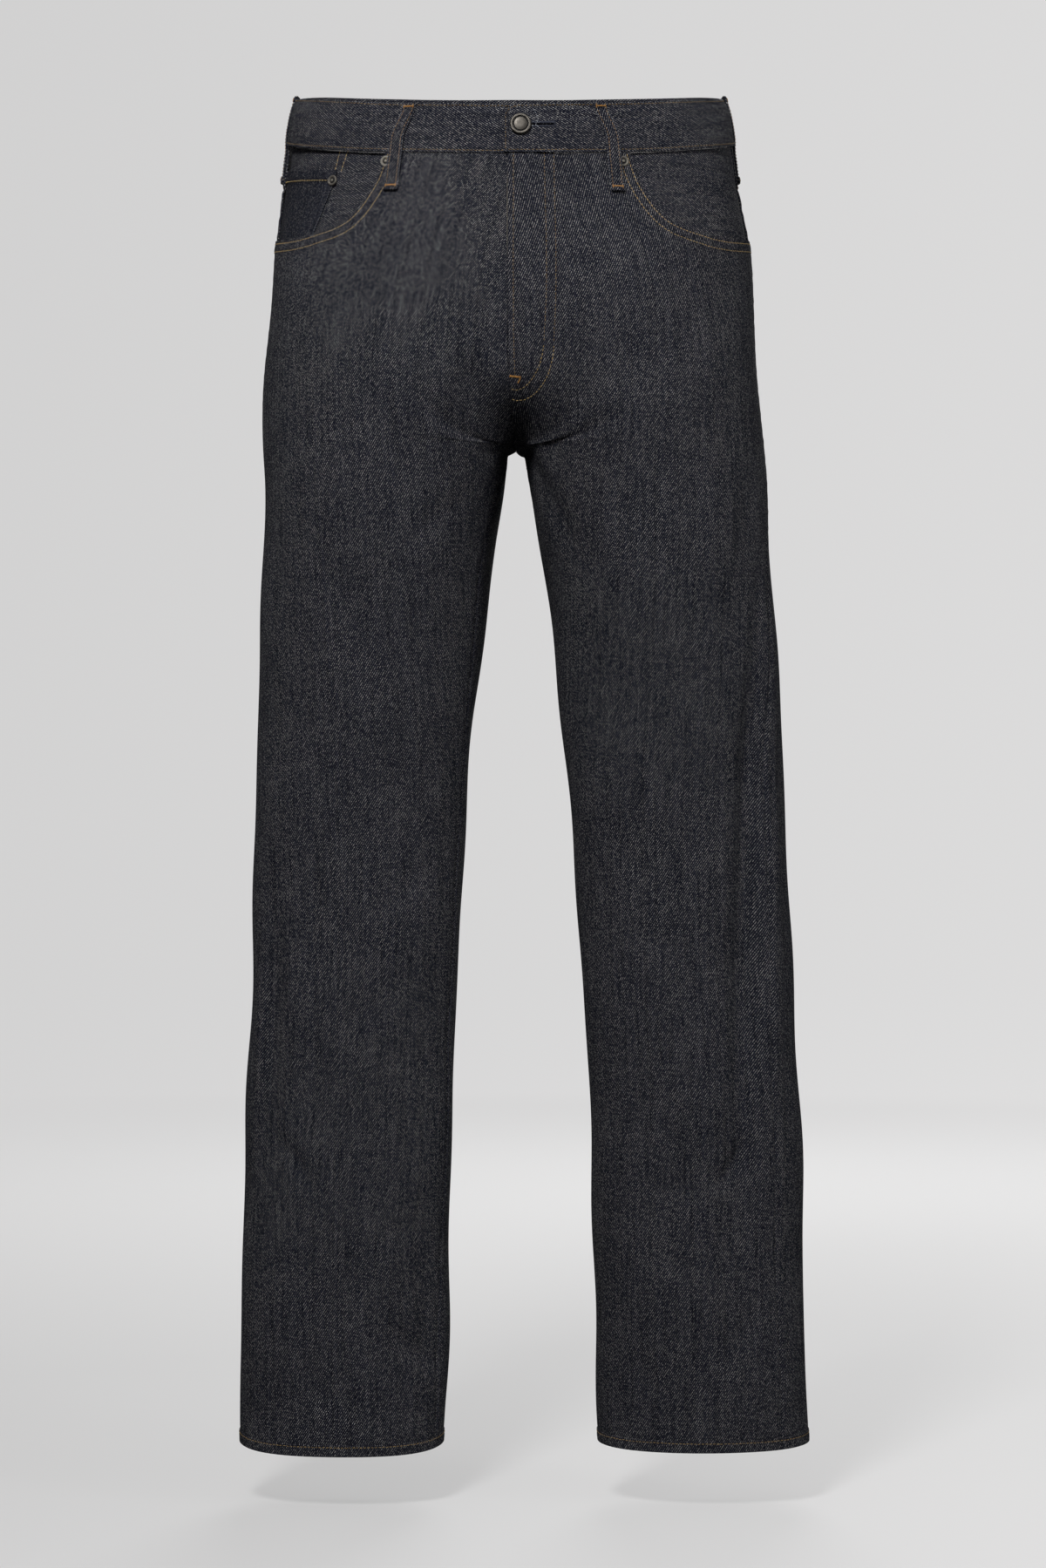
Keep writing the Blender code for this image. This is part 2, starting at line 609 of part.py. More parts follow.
def build_belt_loops():
    """Five belt loops: strips folded under and tacked at the band's top and below the band."""
    back_share = 1 - 0.0375 / float(outline_length(LEFT, np.array([0.0]))[0])
    places = (("belt_loop_front_left", LEFT, share_at(LEFT, 0.0824, -0.03), 0.0080),
              ("belt_loop_front_right", RIGHT, share_at(RIGHT, 0.0873, -0.03), 0.0080),
              ("belt_loop_side_left", LEFT, 0.520, 0.0),
              ("belt_loop_side_right", RIGHT, 0.520, 0.0),
              ("belt_loop_back", LEFT, back_share, 0.0))
    profile = columns_of(LOOP_PROFILE, LOOP_COLUMNS)
    for name, side, centre, lean in places:
        way = np.linspace(0, 1, LOOP_ROWS)[:, None]
        length = float(outline_length(side, np.array([0.0]))[0])
        middle = centre - lean / length * ease((0.42 - way) / 0.42)
        share = middle + LOOP_WIDTH / length * np.array([[-0.5, 0.0, 0.5]])
        top = band_line(side, middle) + BAND_HALF
        z = top - way * (2 * BAND_HALF + LOOP_BELOW_BAND)
        z = np.broadcast_to(z, share.shape)
        lift = through(way, profile["way"], profile["lift"])
        fold = LOOP_FOLD * (1 - ease((way - 0.03) / 0.06) + ease((way - 0.90) / 0.05))
        outer = skin(side, share, z, lift + LOOP_WALL + fold)
        inner = skin(side, share, z, lift)
        add_object(name, wall_mesh(name, outer, inner), RAW_DENIM)


def build_front_pockets():
    """Facings behind the pocket mouths, the coin pocket and the pocket bags."""
    for side, name in SIDE_NAMES.items():
        edge = GAP / 2 / float(outline_length(side, np.array([0.0]))[0])
        for label, start, foot, lift, thickness, finish in (
                ("pocket_facing_", FACING_START, FACING_FOOT_Z, FACING_LIFT[side], CLOTH,
                 RAW_DENIM),
                ("pocket_bag_", BAG_START, BAG_FOOT_Z, BAG_LIFT[side], THIN_CLOTH, POCKETING)):
            first = share_at(side, start, -0.06)
            share = np.linspace(first, SIDE_SHARE - edge, 9)[None, :]
            down = np.linspace(0, 1, 7)[:, None]
            z = band_foot(side, share) * (1 - down) + foot * down
            share = np.broadcast_to(share, z.shape)
            cloth_wall(label + name, side, share, z, lift, thickness, finish)

    top, foot = COIN_INNER
    down = np.linspace(0, 1, 6)[:, None]
    inner = (share_at(RIGHT, *top) * (1 - down) + share_at(RIGHT, *foot) * down)
    way = np.linspace(0, 1, 6)[None, :]
    share = inner + (SIDE_SHARE - 0.001 - inner) * way
    upper = top[1] + (COIN_SIDE_Z - top[1]) * way
    z = upper * (1 - down) + foot[1] * down
    cloth_wall("coin_pocket", RIGHT, share, z, COIN_LIFT, THIN_CLOTH, COIN_DENIM)


def build_back_pockets():
    """Plain patch pockets with a shallow point at the foot."""
    for side, name in SIDE_NAMES.items():
        across = np.linspace(-0.5, 0.5, 13)[None, :]
        down = np.linspace(0, 1, 12)[:, None]
        width = BACK_POCKET_WIDTH + (BACK_POCKET_FOOT - BACK_POCKET_WIDTH) * down
        top = BACK_POCKET_TOP_Z + BACK_POCKET_SLOPE * BACK_POCKET_WIDTH * across
        foot = top - BACK_POCKET_HEIGHT - BACK_POCKET_POINT * (1 - 2 * np.abs(across))
        z = top + (foot - top) * down
        share = 1 - (BACK_POCKET_CENTRE + across * width) / outline_length(side, z)
        cloth_wall("back_pocket_" + name, side, share, z, BACK_POCKET_LIFT + CLOTH, CLOTH, RAW_DENIM)


def build_fly():
    """The closed zip's strip and the shield behind it, under the lapped fronts."""
    for name, span, foot, lift, thickness, finish in (
            ("fly_zip", ZIP_SPAN, ZIP_FOOT_Z, ZIP_LIFT, THIN_CLOTH, TAPE),
            ("fly_shield", SHIELD_SPAN, SHIELD_FOOT_Z, SHIELD_LIFT, CLOTH, RAW_DENIM)):
        distance = np.linspace(*span, 7)[None, :]
        start = -BAND_HALF - GAP
        up = start + (foot - float(band_line(LEFT, 0.0)) - start) * np.linspace(0, 1, 9)[:, None]
        outer = ring_points(distance, up, lift)
        inner = ring_points(distance, up, lift - thickness)
        add_object(name, wall_mesh(name, outer, inner), finish)


# ---------------------------------------------------------------- metal pieces

def turned_mesh(name, profile, steps):
    """A solid of revolution about Z from an outline of (radius, height) pairs that ends on Z."""
    shape = bmesh.new()
    points = [shape.verts.new((radius, 0.0, height)) for radius, height in profile]
    edges = [shape.edges.new(pair) for pair in zip(points, points[1:])]
    bmesh.ops.spin(shape, geom=points + edges, cent=(0, 0, 0), axis=(0, 0, 1),
                   angle=math.tau, steps=steps, use_merge=True)
    bmesh.ops.remove_doubles(shape, verts=shape.verts, dist=0.00002)
    bmesh.ops.recalc_face_normals(shape, faces=shape.faces)
    mesh = bpy.data.meshes.new(name)
    shape.to_mesh(mesh)
    shape.free()
    return mesh


def on_skin(side, across, z, lift):
    """Matrix that stands a piece on the front's surface, its Z along the normal."""
    share = share_at(side, across, z)
    foot, head = (skin(side, share, z, value) for value in (lift, lift + 0.01))
    normal = Vector(head - foot).normalized()
    turn = normal.to_track_quat("Z", "Y").to_matrix().to_4x4()
    return Matrix.Translation(Vector(foot)) @ turn


def build_button():
    """Waist button: a foot on the button end, a shank through the buttonhole, a dished head."""
    foot = -BAND_LAP_LIFT + BAND_WALL / 2 + GAP
    neck = 2 * BAND_LAP_LIFT + GAP
    rim = BUTTON_RADIUS
    profile = ((0.0, 0.0), (0.0026, 0.0), (0.0026, neck), (rim - 0.0012, neck + 0.0002),
               (rim, neck + 0.0010), (rim, neck + 0.0018), (rim - 0.0010, neck + 0.0028),
               (rim - 0.0024, neck + 0.0027), (rim - 0.0027, neck + 0.0021),
               (rim - 0.0030, neck + 0.0021), (rim - 0.0034, neck + 0.0025),
               (0.0, neck + 0.0026))
    mesh = turned_mesh("waist_button", profile, TURN_STEPS)
    mesh.transform(on_skin(LEFT, BUTTON_ACROSS, BUTTON_Z, foot))
    add_object("waist_button", mesh, NICKEL)


def build_rivets():
    """Rivets at the tops of the pocket mouths and at the coin pocket's corner."""
    edge = RIVET_RADIUS
    profile = ((0.0, 0.0), (edge - 0.0004, 0.0), (edge, 0.0004), (edge - 0.0005, 0.0010),
               (edge - 0.0016, 0.0009), (edge - 0.0019, 0.0004), (0.0016, 0.0004),
               (0.0013, 0.0011), (0.0, 0.0014))
    for name, side, across, z, lift in RIVETS:
        mesh = turned_mesh(name, profile, 16)
        mesh.transform(on_skin(side, across, z, lift))
        add_object(name, mesh, NICKEL)


def main():
    """Clear the scene and build every piece."""
    for old in list(bpy.data.objects):
        bpy.data.objects.remove(old, do_unlink=True)
    build_panels()
    build_hems()
    build_waistband()
    build_belt_loops()
    build_front_pockets()
    build_back_pockets()
    build_fly()
    build_button()
    build_rivets()


main()
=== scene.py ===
"""Straight leg jeans in raw denim: cloth, stitches, metal, studio light and camera.

Metres, +Z up, the front towards -Y and the wearer's left towards +X.  Every piece of cloth is a
thin wall over one surface, the Form, whose outline at each height comes from a table of sections.
A point of the cloth is named by its share of the way round that outline, and its height.
"""

import logging
import math
from dataclasses import dataclass, field
from enum import Enum
from functools import cached_property
from typing import Callable, ClassVar

import bmesh
import bpy
import numpy as np
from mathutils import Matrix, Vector


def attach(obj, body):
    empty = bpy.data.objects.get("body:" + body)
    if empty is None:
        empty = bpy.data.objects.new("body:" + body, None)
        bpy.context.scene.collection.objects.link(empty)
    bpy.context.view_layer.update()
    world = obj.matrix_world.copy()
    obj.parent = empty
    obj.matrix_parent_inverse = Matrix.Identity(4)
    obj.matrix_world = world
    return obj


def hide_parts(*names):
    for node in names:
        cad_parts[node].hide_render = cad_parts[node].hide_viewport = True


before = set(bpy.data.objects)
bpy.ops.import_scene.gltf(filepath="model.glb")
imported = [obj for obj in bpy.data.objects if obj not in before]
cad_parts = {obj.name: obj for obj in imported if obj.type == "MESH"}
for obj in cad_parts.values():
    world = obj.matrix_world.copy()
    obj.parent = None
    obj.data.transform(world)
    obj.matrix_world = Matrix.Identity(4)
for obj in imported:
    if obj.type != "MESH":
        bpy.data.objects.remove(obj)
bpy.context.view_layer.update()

Array = np.ndarray
Values = Array | float
Pair = tuple[Array, Array]
Colour = tuple[float, float, float]
Material = bpy.types.Material
Piece = bpy.types.Object
LOG = logging.getLogger("jeans")
UV_NAME = "cloth"
FULL_TURN = 2 * math.pi
LEAST_FLAT = 0.0101  # metres, the narrowest flat size that is stated
SEAM_ROWS = (0.0018, 0.0082)  # metres from a seam to its two rows of stitches
TENTHS = 1e4  # of a millimetre in a metre, the unit of the long tables


class Side(Enum):
    """A half of the trousers, as the wearer has it."""

    LEFT = 1
    RIGHT = -1

    @property
    def label(self) -> str:
        """The half's name within the names of pieces."""
        return self.name.lower()


class Face(Enum):
    """The front or the back of the trousers."""

    FRONT = 0
    BACK = 1


# Small curves

def ease(t: Values) -> Array:
    """Smooth step from 0 to 1: t t (3 - 2 t), with t held within 0 and 1."""
    t = np.clip(t, 0.0, 1.0)
    return t * t * (3 - 2 * t)


def bell(t: Values) -> Array:
    """Bell of height 1 at 0: exp(-t t)."""
    return np.exp(-np.square(t))


def wobble(x: Values, seed: float) -> Array:
    """Uneven wave within -1 and 1, of a period near 1: three sines of unlike periods."""
    turns = FULL_TURN * np.asarray(x, float)
    return (0.5 * np.sin(turns + seed) + 0.3 * np.sin(1.618 * turns + 2.3 * seed)
            + 0.2 * np.sin(0.414 * turns + 5.1 * seed))


def cubic(t: Array, start: Array, end: Array, slope_a: Array, slope_b: Array) -> Array:
    """Cubic from start to end over t from 0 to 1, by its slopes at both."""
    return ((1 + 2 * t) * (1 - t) ** 2 * start + t * (1 - t) ** 2 * slope_a
            + t * t * (3 - 2 * t) * end + t * t * (t - 1) * slope_b)


def through(x: Array, knots: Array, values: Array) -> Array:
    """Smooth curve through (knots, values): cubic pieces that share their slopes at the knots."""
    slopes = np.gradient(values, knots)
    x = np.clip(x, knots[0], knots[-1])
    i = np.clip(np.searchsorted(knots, x) - 1, 0, len(knots) - 2)
    width = knots[i + 1] - knots[i]
    return cubic((x - knots[i]) / width, values[i], values[i + 1], width * slopes[i],
                 width * slopes[i + 1])


def together(*values: Values) -> list[Array]:
    """Values as arrays of one shape."""
    return np.broadcast_arrays(*(np.asarray(value, float) for value in values))


def unit(vectors: Array) -> Array:
    """Vectors brought to length 1."""
    return vectors / np.maximum(np.linalg.norm(vectors, axis=-1, keepdims=True), 1e-12)


def run_along(points: Array) -> Array:
    """Distance run along a polyline at each of its points, from 0."""
    steps = np.linalg.norm(np.diff(points, axis=0), axis=1)
    return np.concatenate([[0.0], np.cumsum(steps)])


def at_run(goals: Array, run: Array, points: Array) -> Array:
    """Places at distances along a polyline, with any number of coordinates."""
    return np.stack([np.interp(goals, run, column) for column in points.T], axis=1)


def even_run(points: Array, count: int) -> Array:
    """Points evenly spaced along a polyline."""
    run = run_along(points)
    return at_run(np.linspace(0, run[-1], count), run, points)


def crowded(count: int, squeeze: float = 0.6) -> Array:
    """Steps from 0 to 1 that lie closer at both ends: t - squeeze sin(2 pi t) / (2 pi)."""
    t = np.linspace(0, 1, count)
    return t - squeeze * np.sin(FULL_TURN * t) / FULL_TURN


def off_line(across: Array, z: Array, line: Array) -> Array:
    """Least distance from each point (across, z) to a line's points, or 1 m at most."""
    across, z = together(across, z)
    best = np.full(across.shape, 1.0)
    for u, v in line:
        best = np.minimum(best, (across - u) ** 2 + (z - v) ** 2)
    return np.sqrt(best)


def curve_points(knots: tuple | Array, count: int) -> Array:
    """A smooth curve through a few points, evenly spaced."""
    knots = np.array(knots, float)
    run = run_along(knots)
    fine = np.linspace(0, run[-1], 8 * count)
    return even_run(np.stack([through(fine, run, column) for column in knots.T], axis=1), count)


def beside_line(line: Array, distance: float) -> Array:
    """A plane line moved to its left by a distance, each point along its own normal."""
    along = unit(np.gradient(line, axis=0))
    return line + distance * np.stack([-along[:, 1], along[:, 0]], axis=1)


def circle(radius: Values, turn: Array) -> Array:
    """Points at angles round a circle about 0."""
    return np.stack([radius * np.cos(turn), radius * np.sin(turn)], axis=-1)


# The trousers' form

L, R, FRONT, BACK = Side.LEFT, Side.RIGHT, Face.FRONT, Face.BACK


@dataclass(frozen=True)
class Form:
    """The surface that every piece of cloth follows.

    The tables hold tenths of a millimetre, and ten-thousandths of an outline in place of shares.
    sections: outer, inner and seam are x; front, middle and back are y; crest is where between
    inner and outer the front and the back reach furthest.
    twist: the seams' turn round a leg, in degrees, at metres below the crotch.
    folds: large troughs by half: top, bottom, the share at each, width, depth.
    creases: troughs by half and face, or ridges where their depth is below 0: x and z of both
    ends, width, depth, and how far the middle bows sideways.
    """

    columns: tuple = ("z", "outer_left", "outer_right", "inner_left", "inner_right", "seam",
                      "front", "middle", "back", "crest")
    sections: tuple = (
        (800, 1695, -1735, -35, -35, -35, -900, 0, 960, 0),
        (200, 1745, -1778, -35, -35, -35, -930, 0, 985, 0),
        (-200, 1795, -1822, -35, -35, -35, -970, 10, 1035, 0),
        (-500, 1836, -1858, -35, -35, -35, -1010, 30, 1115, 200),
        (-940, 1918, -1923, -33, -37, -35, -1090, 60, 1240, 1000),
        (-1510, 1958, -1965, -15, -45, -35, -1155, 70, 1325, 2100),
        (-2070, 1985, -2001, 25, -50, -25, -1135, 40, 1305, 3300),
        (-2625, 2022, -2020, 90, -35, 30, -1065, 10, 1200, 4300),
        (-2920, 2050, -2016, 145, -60, 35, -1020, 0, 1135, 4650),
        (-3350, 2086, -2018, 212, -127, 40, -955, 10, 1040, 4900),
        (-4190, 2142, -2048, 336, -247, 45, -820, 20, 875, 5000),
        (-5470, 2206, -2080, 454, -368, 45, -640, 30, 700, 5000),
        (-6740, 2269, -2116, 562, -440, 60, -555, 50, 630, 5000),
        (-8010, 2338, -2158, 629, -493, 65, -515, 70, 620, 5000),
        (-9280, 2364, -2199, 660, -511, 70, -480, 80, 610, 5000),
        (-10655, 2400, -2215, 702, -553, 75, -440, 90, 610, 5000),
        (-11200, 2412, -2220, 716, -570, 75, -430, 90, 610, 5000),
    )
    twist_columns: tuple = ("below", "inseam_left", "inseam_right", "outseam_left",
                            "outseam_right")
    twist: tuple = (
        (-0.14, 0, 0, 0, 0), (-0.05, 0, 0, -4, 2), (0.0, 0, 0, -9, 5),
        (0.03, -12, 20, -14, 9), (0.1, -22, 28, -23, 17), (0.25, -28, 20, -33, 24),
        (0.52, -34, 18, -39, 24), (0.82, -34, 22, -38, 24),
    )
    folds: tuple = (
        (L, (
            (-3300, -9600, 4050, 3040, 130, 122), (-2500, -3700, 500, 1500, 140, 30),
            (-3000, -4200, 7000, 8000, 180, 40), (-5000, -6200, 8600, 6800, 180, 50),
            (-5600, -6900, 7000, 8400, 160, 40), (-8200, -9900, 8000, 7000, 180, 30))),
        (R, (
            (-1900, -2660, 500, 850, 140, 60), (-6000, -8600, 4020, 3960, 110, 55),
            (-2900, -4000, 7200, 8200, 180, 40), (-4900, -6000, 7000, 8700, 180, 50),
            (-5700, -7000, 8300, 6900, 160, 40), (-8600, -10100, 1400, 600, 160, 30))),
    )
    creases: tuple = (
        (L, FRONT, (
            (2090, -4500, 2070, -8600, 90, -18, 30), (1900, -8120, 1600, -8580, 60, 30, 30),
            (1500, -8420, 1200, -8720, 100, 10, -20), (1920, -2600, 1760, -4700, 130, 22, -60),
            (900, -3000, 1400, -4300, 150, 12, 80), (300, -2850, 900, -2360, 100, 16, 40),
            (140, -2620, 600, -2000, 80, 12, -30), (700, -5600, 1100, -6250, 120, 11, 40),
            (850, -6400, 1500, -6680, 110, 9, -50), (1000, -9000, 1500, -9350, 120, 11, 40),
            (1950, -9400, 1600, -10000, 100, 13, 30), (940, -9850, 1200, -10350, 90, 11, 20),
            (1250, -1150, 1500, -1900, 140, 9, 30))),
        (R, FRONT, (
            (-1910, -8120, -1600, -8600, 60, 30, -30),
            (-2000, -6400, -2030, -8000, 80, -18, 20), (-980, -9650, -580, -10020, 80, 24, 30),
            (-1700, -9850, -1300, -10350, 110, 12, 40),
            (-140, -2760, -750, -2120, 100, 30, -40), (-120, -2480, -500, -1880, 80, 10, 30),
            (-280, -3000, -900, -3520, 110, 13, 50), (-1500, -3300, -1200, -4700, 140, 12, -60),
            (-1900, -3000, -1760, -4500, 120, 14, 40),
            (-600, -5900, -1200, -6400, 110, 11, -40), (-800, -7000, -1400, -7300, 110, 9, 40),
            (-700, -8800, -1200, -9150, 100, 10, 40), (-1300, -1200, -1500, -2000, 130, 9, -30))),
        (L, BACK, (
            (400, -3000, 1200, -2620, 120, 24, 50), (550, -3600, 1500, -3180, 130, 18, -60),
            (700, -5600, 1500, -6000, 90, 22, 40), (1900, -6100, 1200, -6500, 90, 20, -40),
            (800, -6900, 1500, -7200, 100, 14, 30), (1700, -9000, 1100, -9400, 110, 14, 40),
            (1000, -9850, 1600, -10200, 100, 16, 30))),
        (R, BACK, (
            (-350, -3000, -1150, -2580, 120, 22, -50), (-500, -3680, -1500, -3300, 130, 17, 60),
            (-650, -5520, -1400, -5900, 90, 22, -40), (-1800, -6000, -1100, -6520, 90, 19, 40),
            (-700, -7000, -1400, -7350, 100, 13, -30),
            (-1600, -8800, -1000, -9300, 110, 13, -40),
            (-900, -9900, -1500, -10250, 100, 16, -30))),
    )
    crotch_z: float = -0.2625
    hem_z: float = -1.0655
    front_fork: float = 0.065
    back_fork: float = 0.1
    apex_radius: float = 0.006
    blend: float = 0.014
    roundness: float = 2.2
    run_points: int = 25
    side_points: int = 83
    gap: float = 0.0003
    chunk: int = 3000
    share_step: float = 0.003
    height_step: float = 0.0015
    sway: float = 0.0008
    crease_gain: float = 1.5
    dips: tuple = ((L, 0.0022), (R, 0.0052))
    dip_reach: float = 0.14
    dip_from: float = 0.01
    dip_over: float = 0.054

    @cached_property
    def section_table(self) -> Array:
        """The sections from the lowest up, in metres."""
        return np.array(self.sections)[::-1] / TENTHS

    @cached_property
    def twist_table(self) -> Array:
        """The twist table."""
        return np.array(self.twist, float)

    @cached_property
    def fold_rows(self) -> dict[Side, Array]:
        """The folds of each half, in metres and shares."""
        return {side: np.array(rows) / TENTHS for side, rows in self.folds}

    @cached_property
    def crease_rows(self) -> dict[Side, list[tuple]]:
        """The creases of each half: both ends' shares and heights, width, depth and bow."""
        result = {side: [] for side in Side}
        for side, face, rows in self.creases:
            for x_a, z_a, x_b, z_b, *rest in np.array(rows) / TENTHS:
                shares = (self.share_of(side, x, z, face) for x, z in ((x_a, z_a), (x_b, z_b)))
                result[side].append((*shares, z_a, z_b, *rest))
        return result

    def column(self, name: str, z: Values) -> Array:
        """A column of the sections table at heights z."""
        return through(np.asarray(z, float), self.section_table[:, 0],
                       self.section_table[:, self.columns.index(name)])

    def turned(self, seam: str, side: Side, z: Values) -> Array:
        """How far a seam is turned round the leg, as a share of the outline."""
        below = self.crotch_z - np.asarray(z, float)
        turn = self.twist_table[:, self.twist_columns.index(seam + "_" + side.label)]
        return np.interp(below, self.twist_table[:, 0], turn) / 360.0

    def outline(self, side: Side, z: Array) -> Pair:
        """Outlines of a half at heights z, as x and y with a row for each height.

        The front and the back are arcs |u|^n + |v|^n = 1 about the crest, n being roundness.
        Above the crotch they end at the centre seam, where they fold inwards over the fork; away
        from it the fork's height h is softened to (h + sqrt(h h + blend blend)) / 2.

        Args:
            side: Which half.
            z: Heights.

        Returns:
            The points' x and y.
        """
        z = np.asarray(z, dtype=float)[:, None]
        n = self.roundness
        below = self.crotch_z - z
        rounding = np.sqrt(1 - (1 - np.clip(below / self.apex_radius, 0, 1)) ** 2)
        seam = self.column("seam", z)
        inner = self.column("inner_" + side.label, z)
        outer = self.column("outer_" + side.label, z)
        crest = inner + (outer - inner) * np.clip(self.column("crest", z), 0, 0.5)
        end = seam + (inner - seam) * rounding
        front, middle, back = (self.column(key, z) for key in ("front", "middle", "back"))

        run = np.linspace(0, 1, self.run_points)[None, :] ** n
        run_x = inner + (crest - inner) * run + (end - inner) * (1 - run) ** 6
        settle = 1 + np.sqrt(run)
        run_y = []
        above = np.maximum(-below, 0)
        soft = (np.sqrt(below * below + self.blend ** 2) - below) / 2
        above = above + (soft - above) * ease(run / 0.1)
        for fork, reach in ((self.front_fork, front), (self.back_fork, back)):
            share = 1 - np.clip(above / fork, 0, 1) ** settle
            run_y.append(middle + (reach - middle) * (1 - (share * (1 - run)) ** n) ** (1 / n))

        turn = np.linspace(-math.pi / 2, math.pi / 2, self.side_points)[None, 1:-1]
        reach = np.cos(turn) ** (2 / n)
        swing = np.sign(turn) * np.abs(np.sin(turn)) ** (2 / n)
        side_x = crest + (outer - crest) * reach
        side_y = middle + np.where(turn < 0, middle - front, back - middle) * swing
        x = np.concatenate([run_x, side_x, run_x[:, ::-1]], axis=1)
        y = np.concatenate([run_y[0], side_y, run_y[1][:, ::-1]], axis=1)
        return x, y

    def trace(self, side: Side, shares: Array, z: Array) -> Pair:
        """Points at several shares of the outlines at heights z.

        Between two points of an outline the curve is a cubic, with slopes from both sides.

        Args:
            side: Which half.
            shares: Sets of shares, a column for each height.
            z: Heights.

        Returns:
            Points, as (sets, heights, 3), and the outlines' lengths.
        """
        x, y = self.outline(side, z)
        steps = np.hypot(np.diff(x, axis=1), np.diff(y, axis=1))
        run = np.concatenate([np.zeros((len(x), 1)), np.cumsum(steps, axis=1)], axis=1)
        total = run[:, -1]
        shares = np.where(z < self.crotch_z, shares % 1.0, np.clip(shares, 0, 1))
        last = run.shape[1] - 1
        result = np.empty(shares.shape + (3,))
        for k, goal in enumerate(shares * total):
            after = np.clip((run < goal[:, None]).sum(axis=1), 1, last)
            picks = np.clip(after[:, None] + np.array([-2, -1, 0, 1]), 0, last)
            s, *places = (np.take_along_axis(a, picks, axis=1) for a in (run, x, y))
            width = np.maximum(s[:, 2] - s[:, 1], 1e-9)
            for axis, p in enumerate(places):
                slopes = ((p[:, j] - p[:, j - 2]) / np.maximum(s[:, j] - s[:, j - 2], 1e-9) * width
                          for j in (2, 3))
                result[k, :, axis] = cubic((goal - s[:, 1]) / width, p[:, 1], p[:, 2], *slopes)
            result[k, :, 2] = z
        return result, total

    def measure(self, side: Side, z: Values) -> Pair:
        """Lengths of the outline at heights z, of any shape: the whole, and up to the side."""
        z = np.asarray(z, dtype=float)
        x, y = self.outline(side, z.ravel())
        steps = np.hypot(np.diff(x, axis=1), np.diff(y, axis=1))
        widest = self.run_points + self.side_points // 2 - 1
        return tuple(part.sum(axis=1).reshape(z.shape) for part in (steps, steps[:, :widest]))

    def skin(self, side: Side, share: Array, z: Array, lift: Values = 0.0
             ) -> Pair:
        """Points of the cloth, moved out by lift along the surface's normal, and the normals."""
        share, z, lift = together(share, z, lift)
        shape = share.shape + (3,)
        share, z, lift = share.ravel(), z.ravel(), lift.ravel()
        points, normals = np.empty((len(z), 3)), np.empty((len(z), 3))
        for start in range(0, len(z), self.chunk):
            part = slice(start, start + self.chunk)
            s, h = share[part], z[part]
            shares = np.stack([s, s - self.share_step, s + self.share_step])
            place, length = self.trace(side, shares, h)
            above = self.trace(side, s[None, :], h + self.height_step)[0]
            under = self.trace(side, s[None, :], h - self.height_step)[0]
            normal = unit(side.value * np.cross(place[2] - place[1], above[0] - under[0]))
            out = lift[part] - self.sunk(side, s, h, length)
            points[part] = place[0] + normal * out[:, None]
            normals[part] = normal
        self.hold_seam(side, points, z)
        ahead = np.clip((self.dip_from - points[:, 1]) / self.dip_over, 0, 1)
        points[:, 2] -= (dict(self.dips)[side] * ease(ahead)
                         * ease((self.hem_z + self.dip_reach - z) / self.dip_reach))
        return points.reshape(shape), normals.reshape(shape)

    def hold_seam(self, side: Side, points: Array, z: Array) -> None:
        """Keeps points above the crotch on their own side of the centre seam, in place."""
        beside = self.column("seam", z) + side.value * self.gap / 8
        held = side.value * np.maximum(side.value * points[..., 0], side.value * beside)
        points[..., 0] = np.where(z > self.crotch_z - self.apex_radius / 4, held, points[..., 0])

    def sunk(self, side: Side, share: Array, z: Array, length: Array) -> Array:
        """Depth of the folds, the creases and a slow sway of the cloth at a place.

        A fold is a bell across times half a sine down; so is a crease, about the line between its
        ends, bent by its bow.  The sway sums sines whole round the leg.
        """
        def off_share(centre: Values) -> Array:
            """Share past a centre, the short way round the leg."""
            off = share - centre
            return np.where(z < self.crotch_z, (off + 0.5) % 1.0 - 0.5, off)

        turn = FULL_TURN * share
        depth = self.sway * (np.sin(2 * turn + z / 0.031 + side.value)
                             + 0.7 * np.sin(3 * turn - z / 0.022 + 2.1 * side.value)
                             + 0.5 * np.sin(5 * turn + z / 0.047 + 0.7))
        for top, bottom, share_a, share_b, width, deep in self.fold_rows[side]:
            way = (top - z) / (top - bottom)
            off = off_share(share_a + (share_b - share_a) * way) * length
            depth += deep * np.sin(math.pi * np.clip(way, 0, 1)) * bell(off / width)
        for share_a, share_b, z_a, z_b, width, deep, bow in self.crease_rows[side]:
            across, down = off_share(share_a) * length, z - z_a
            run_x, run_z = (share_b - share_a) * length, z_b - z_a
            size = run_x * run_x + run_z * run_z
            wave = np.sin(math.pi * np.clip((across * run_x + down * run_z) / size, 0, 1))
            off = (across * run_z - down * run_x) / np.sqrt(size) + bow * wave
            depth += self.crease_gain * deep * wave * bell(off / width)
        return depth

    def round_at(self, side: Side, z: float) -> tuple[Array, Array, Array]:
        """The outline at one height: the distance run along it, and its x and y."""
        x, y = (a[0] for a in self.outline(side, np.array([z])))
        return run_along(np.stack([x, y], axis=1)), x, y

    def share_of(self, side: Side, x: float, z: float, face: Face = Face.FRONT) -> float:
        """Share of the outline at a place x on the front or the back."""
        run, xs, _ = self.round_at(side, z)
        run, off = run / run[-1], side.value * xs
        widest = int(np.argmax(off))
        if face is BACK:
            return float(np.interp(side.value * x, off[widest:][::-1], run[widest:][::-1]))
        return float(np.interp(side.value * x, off[:widest + 1], run[:widest + 1]))

    def share_across(self, side: Side, across: float, z: float) -> float:
        """Share of the outline at a distance across from the centre seam, on its front."""
        return self.share_of(side, float(self.column("seam", z)) + side.value * across, z)


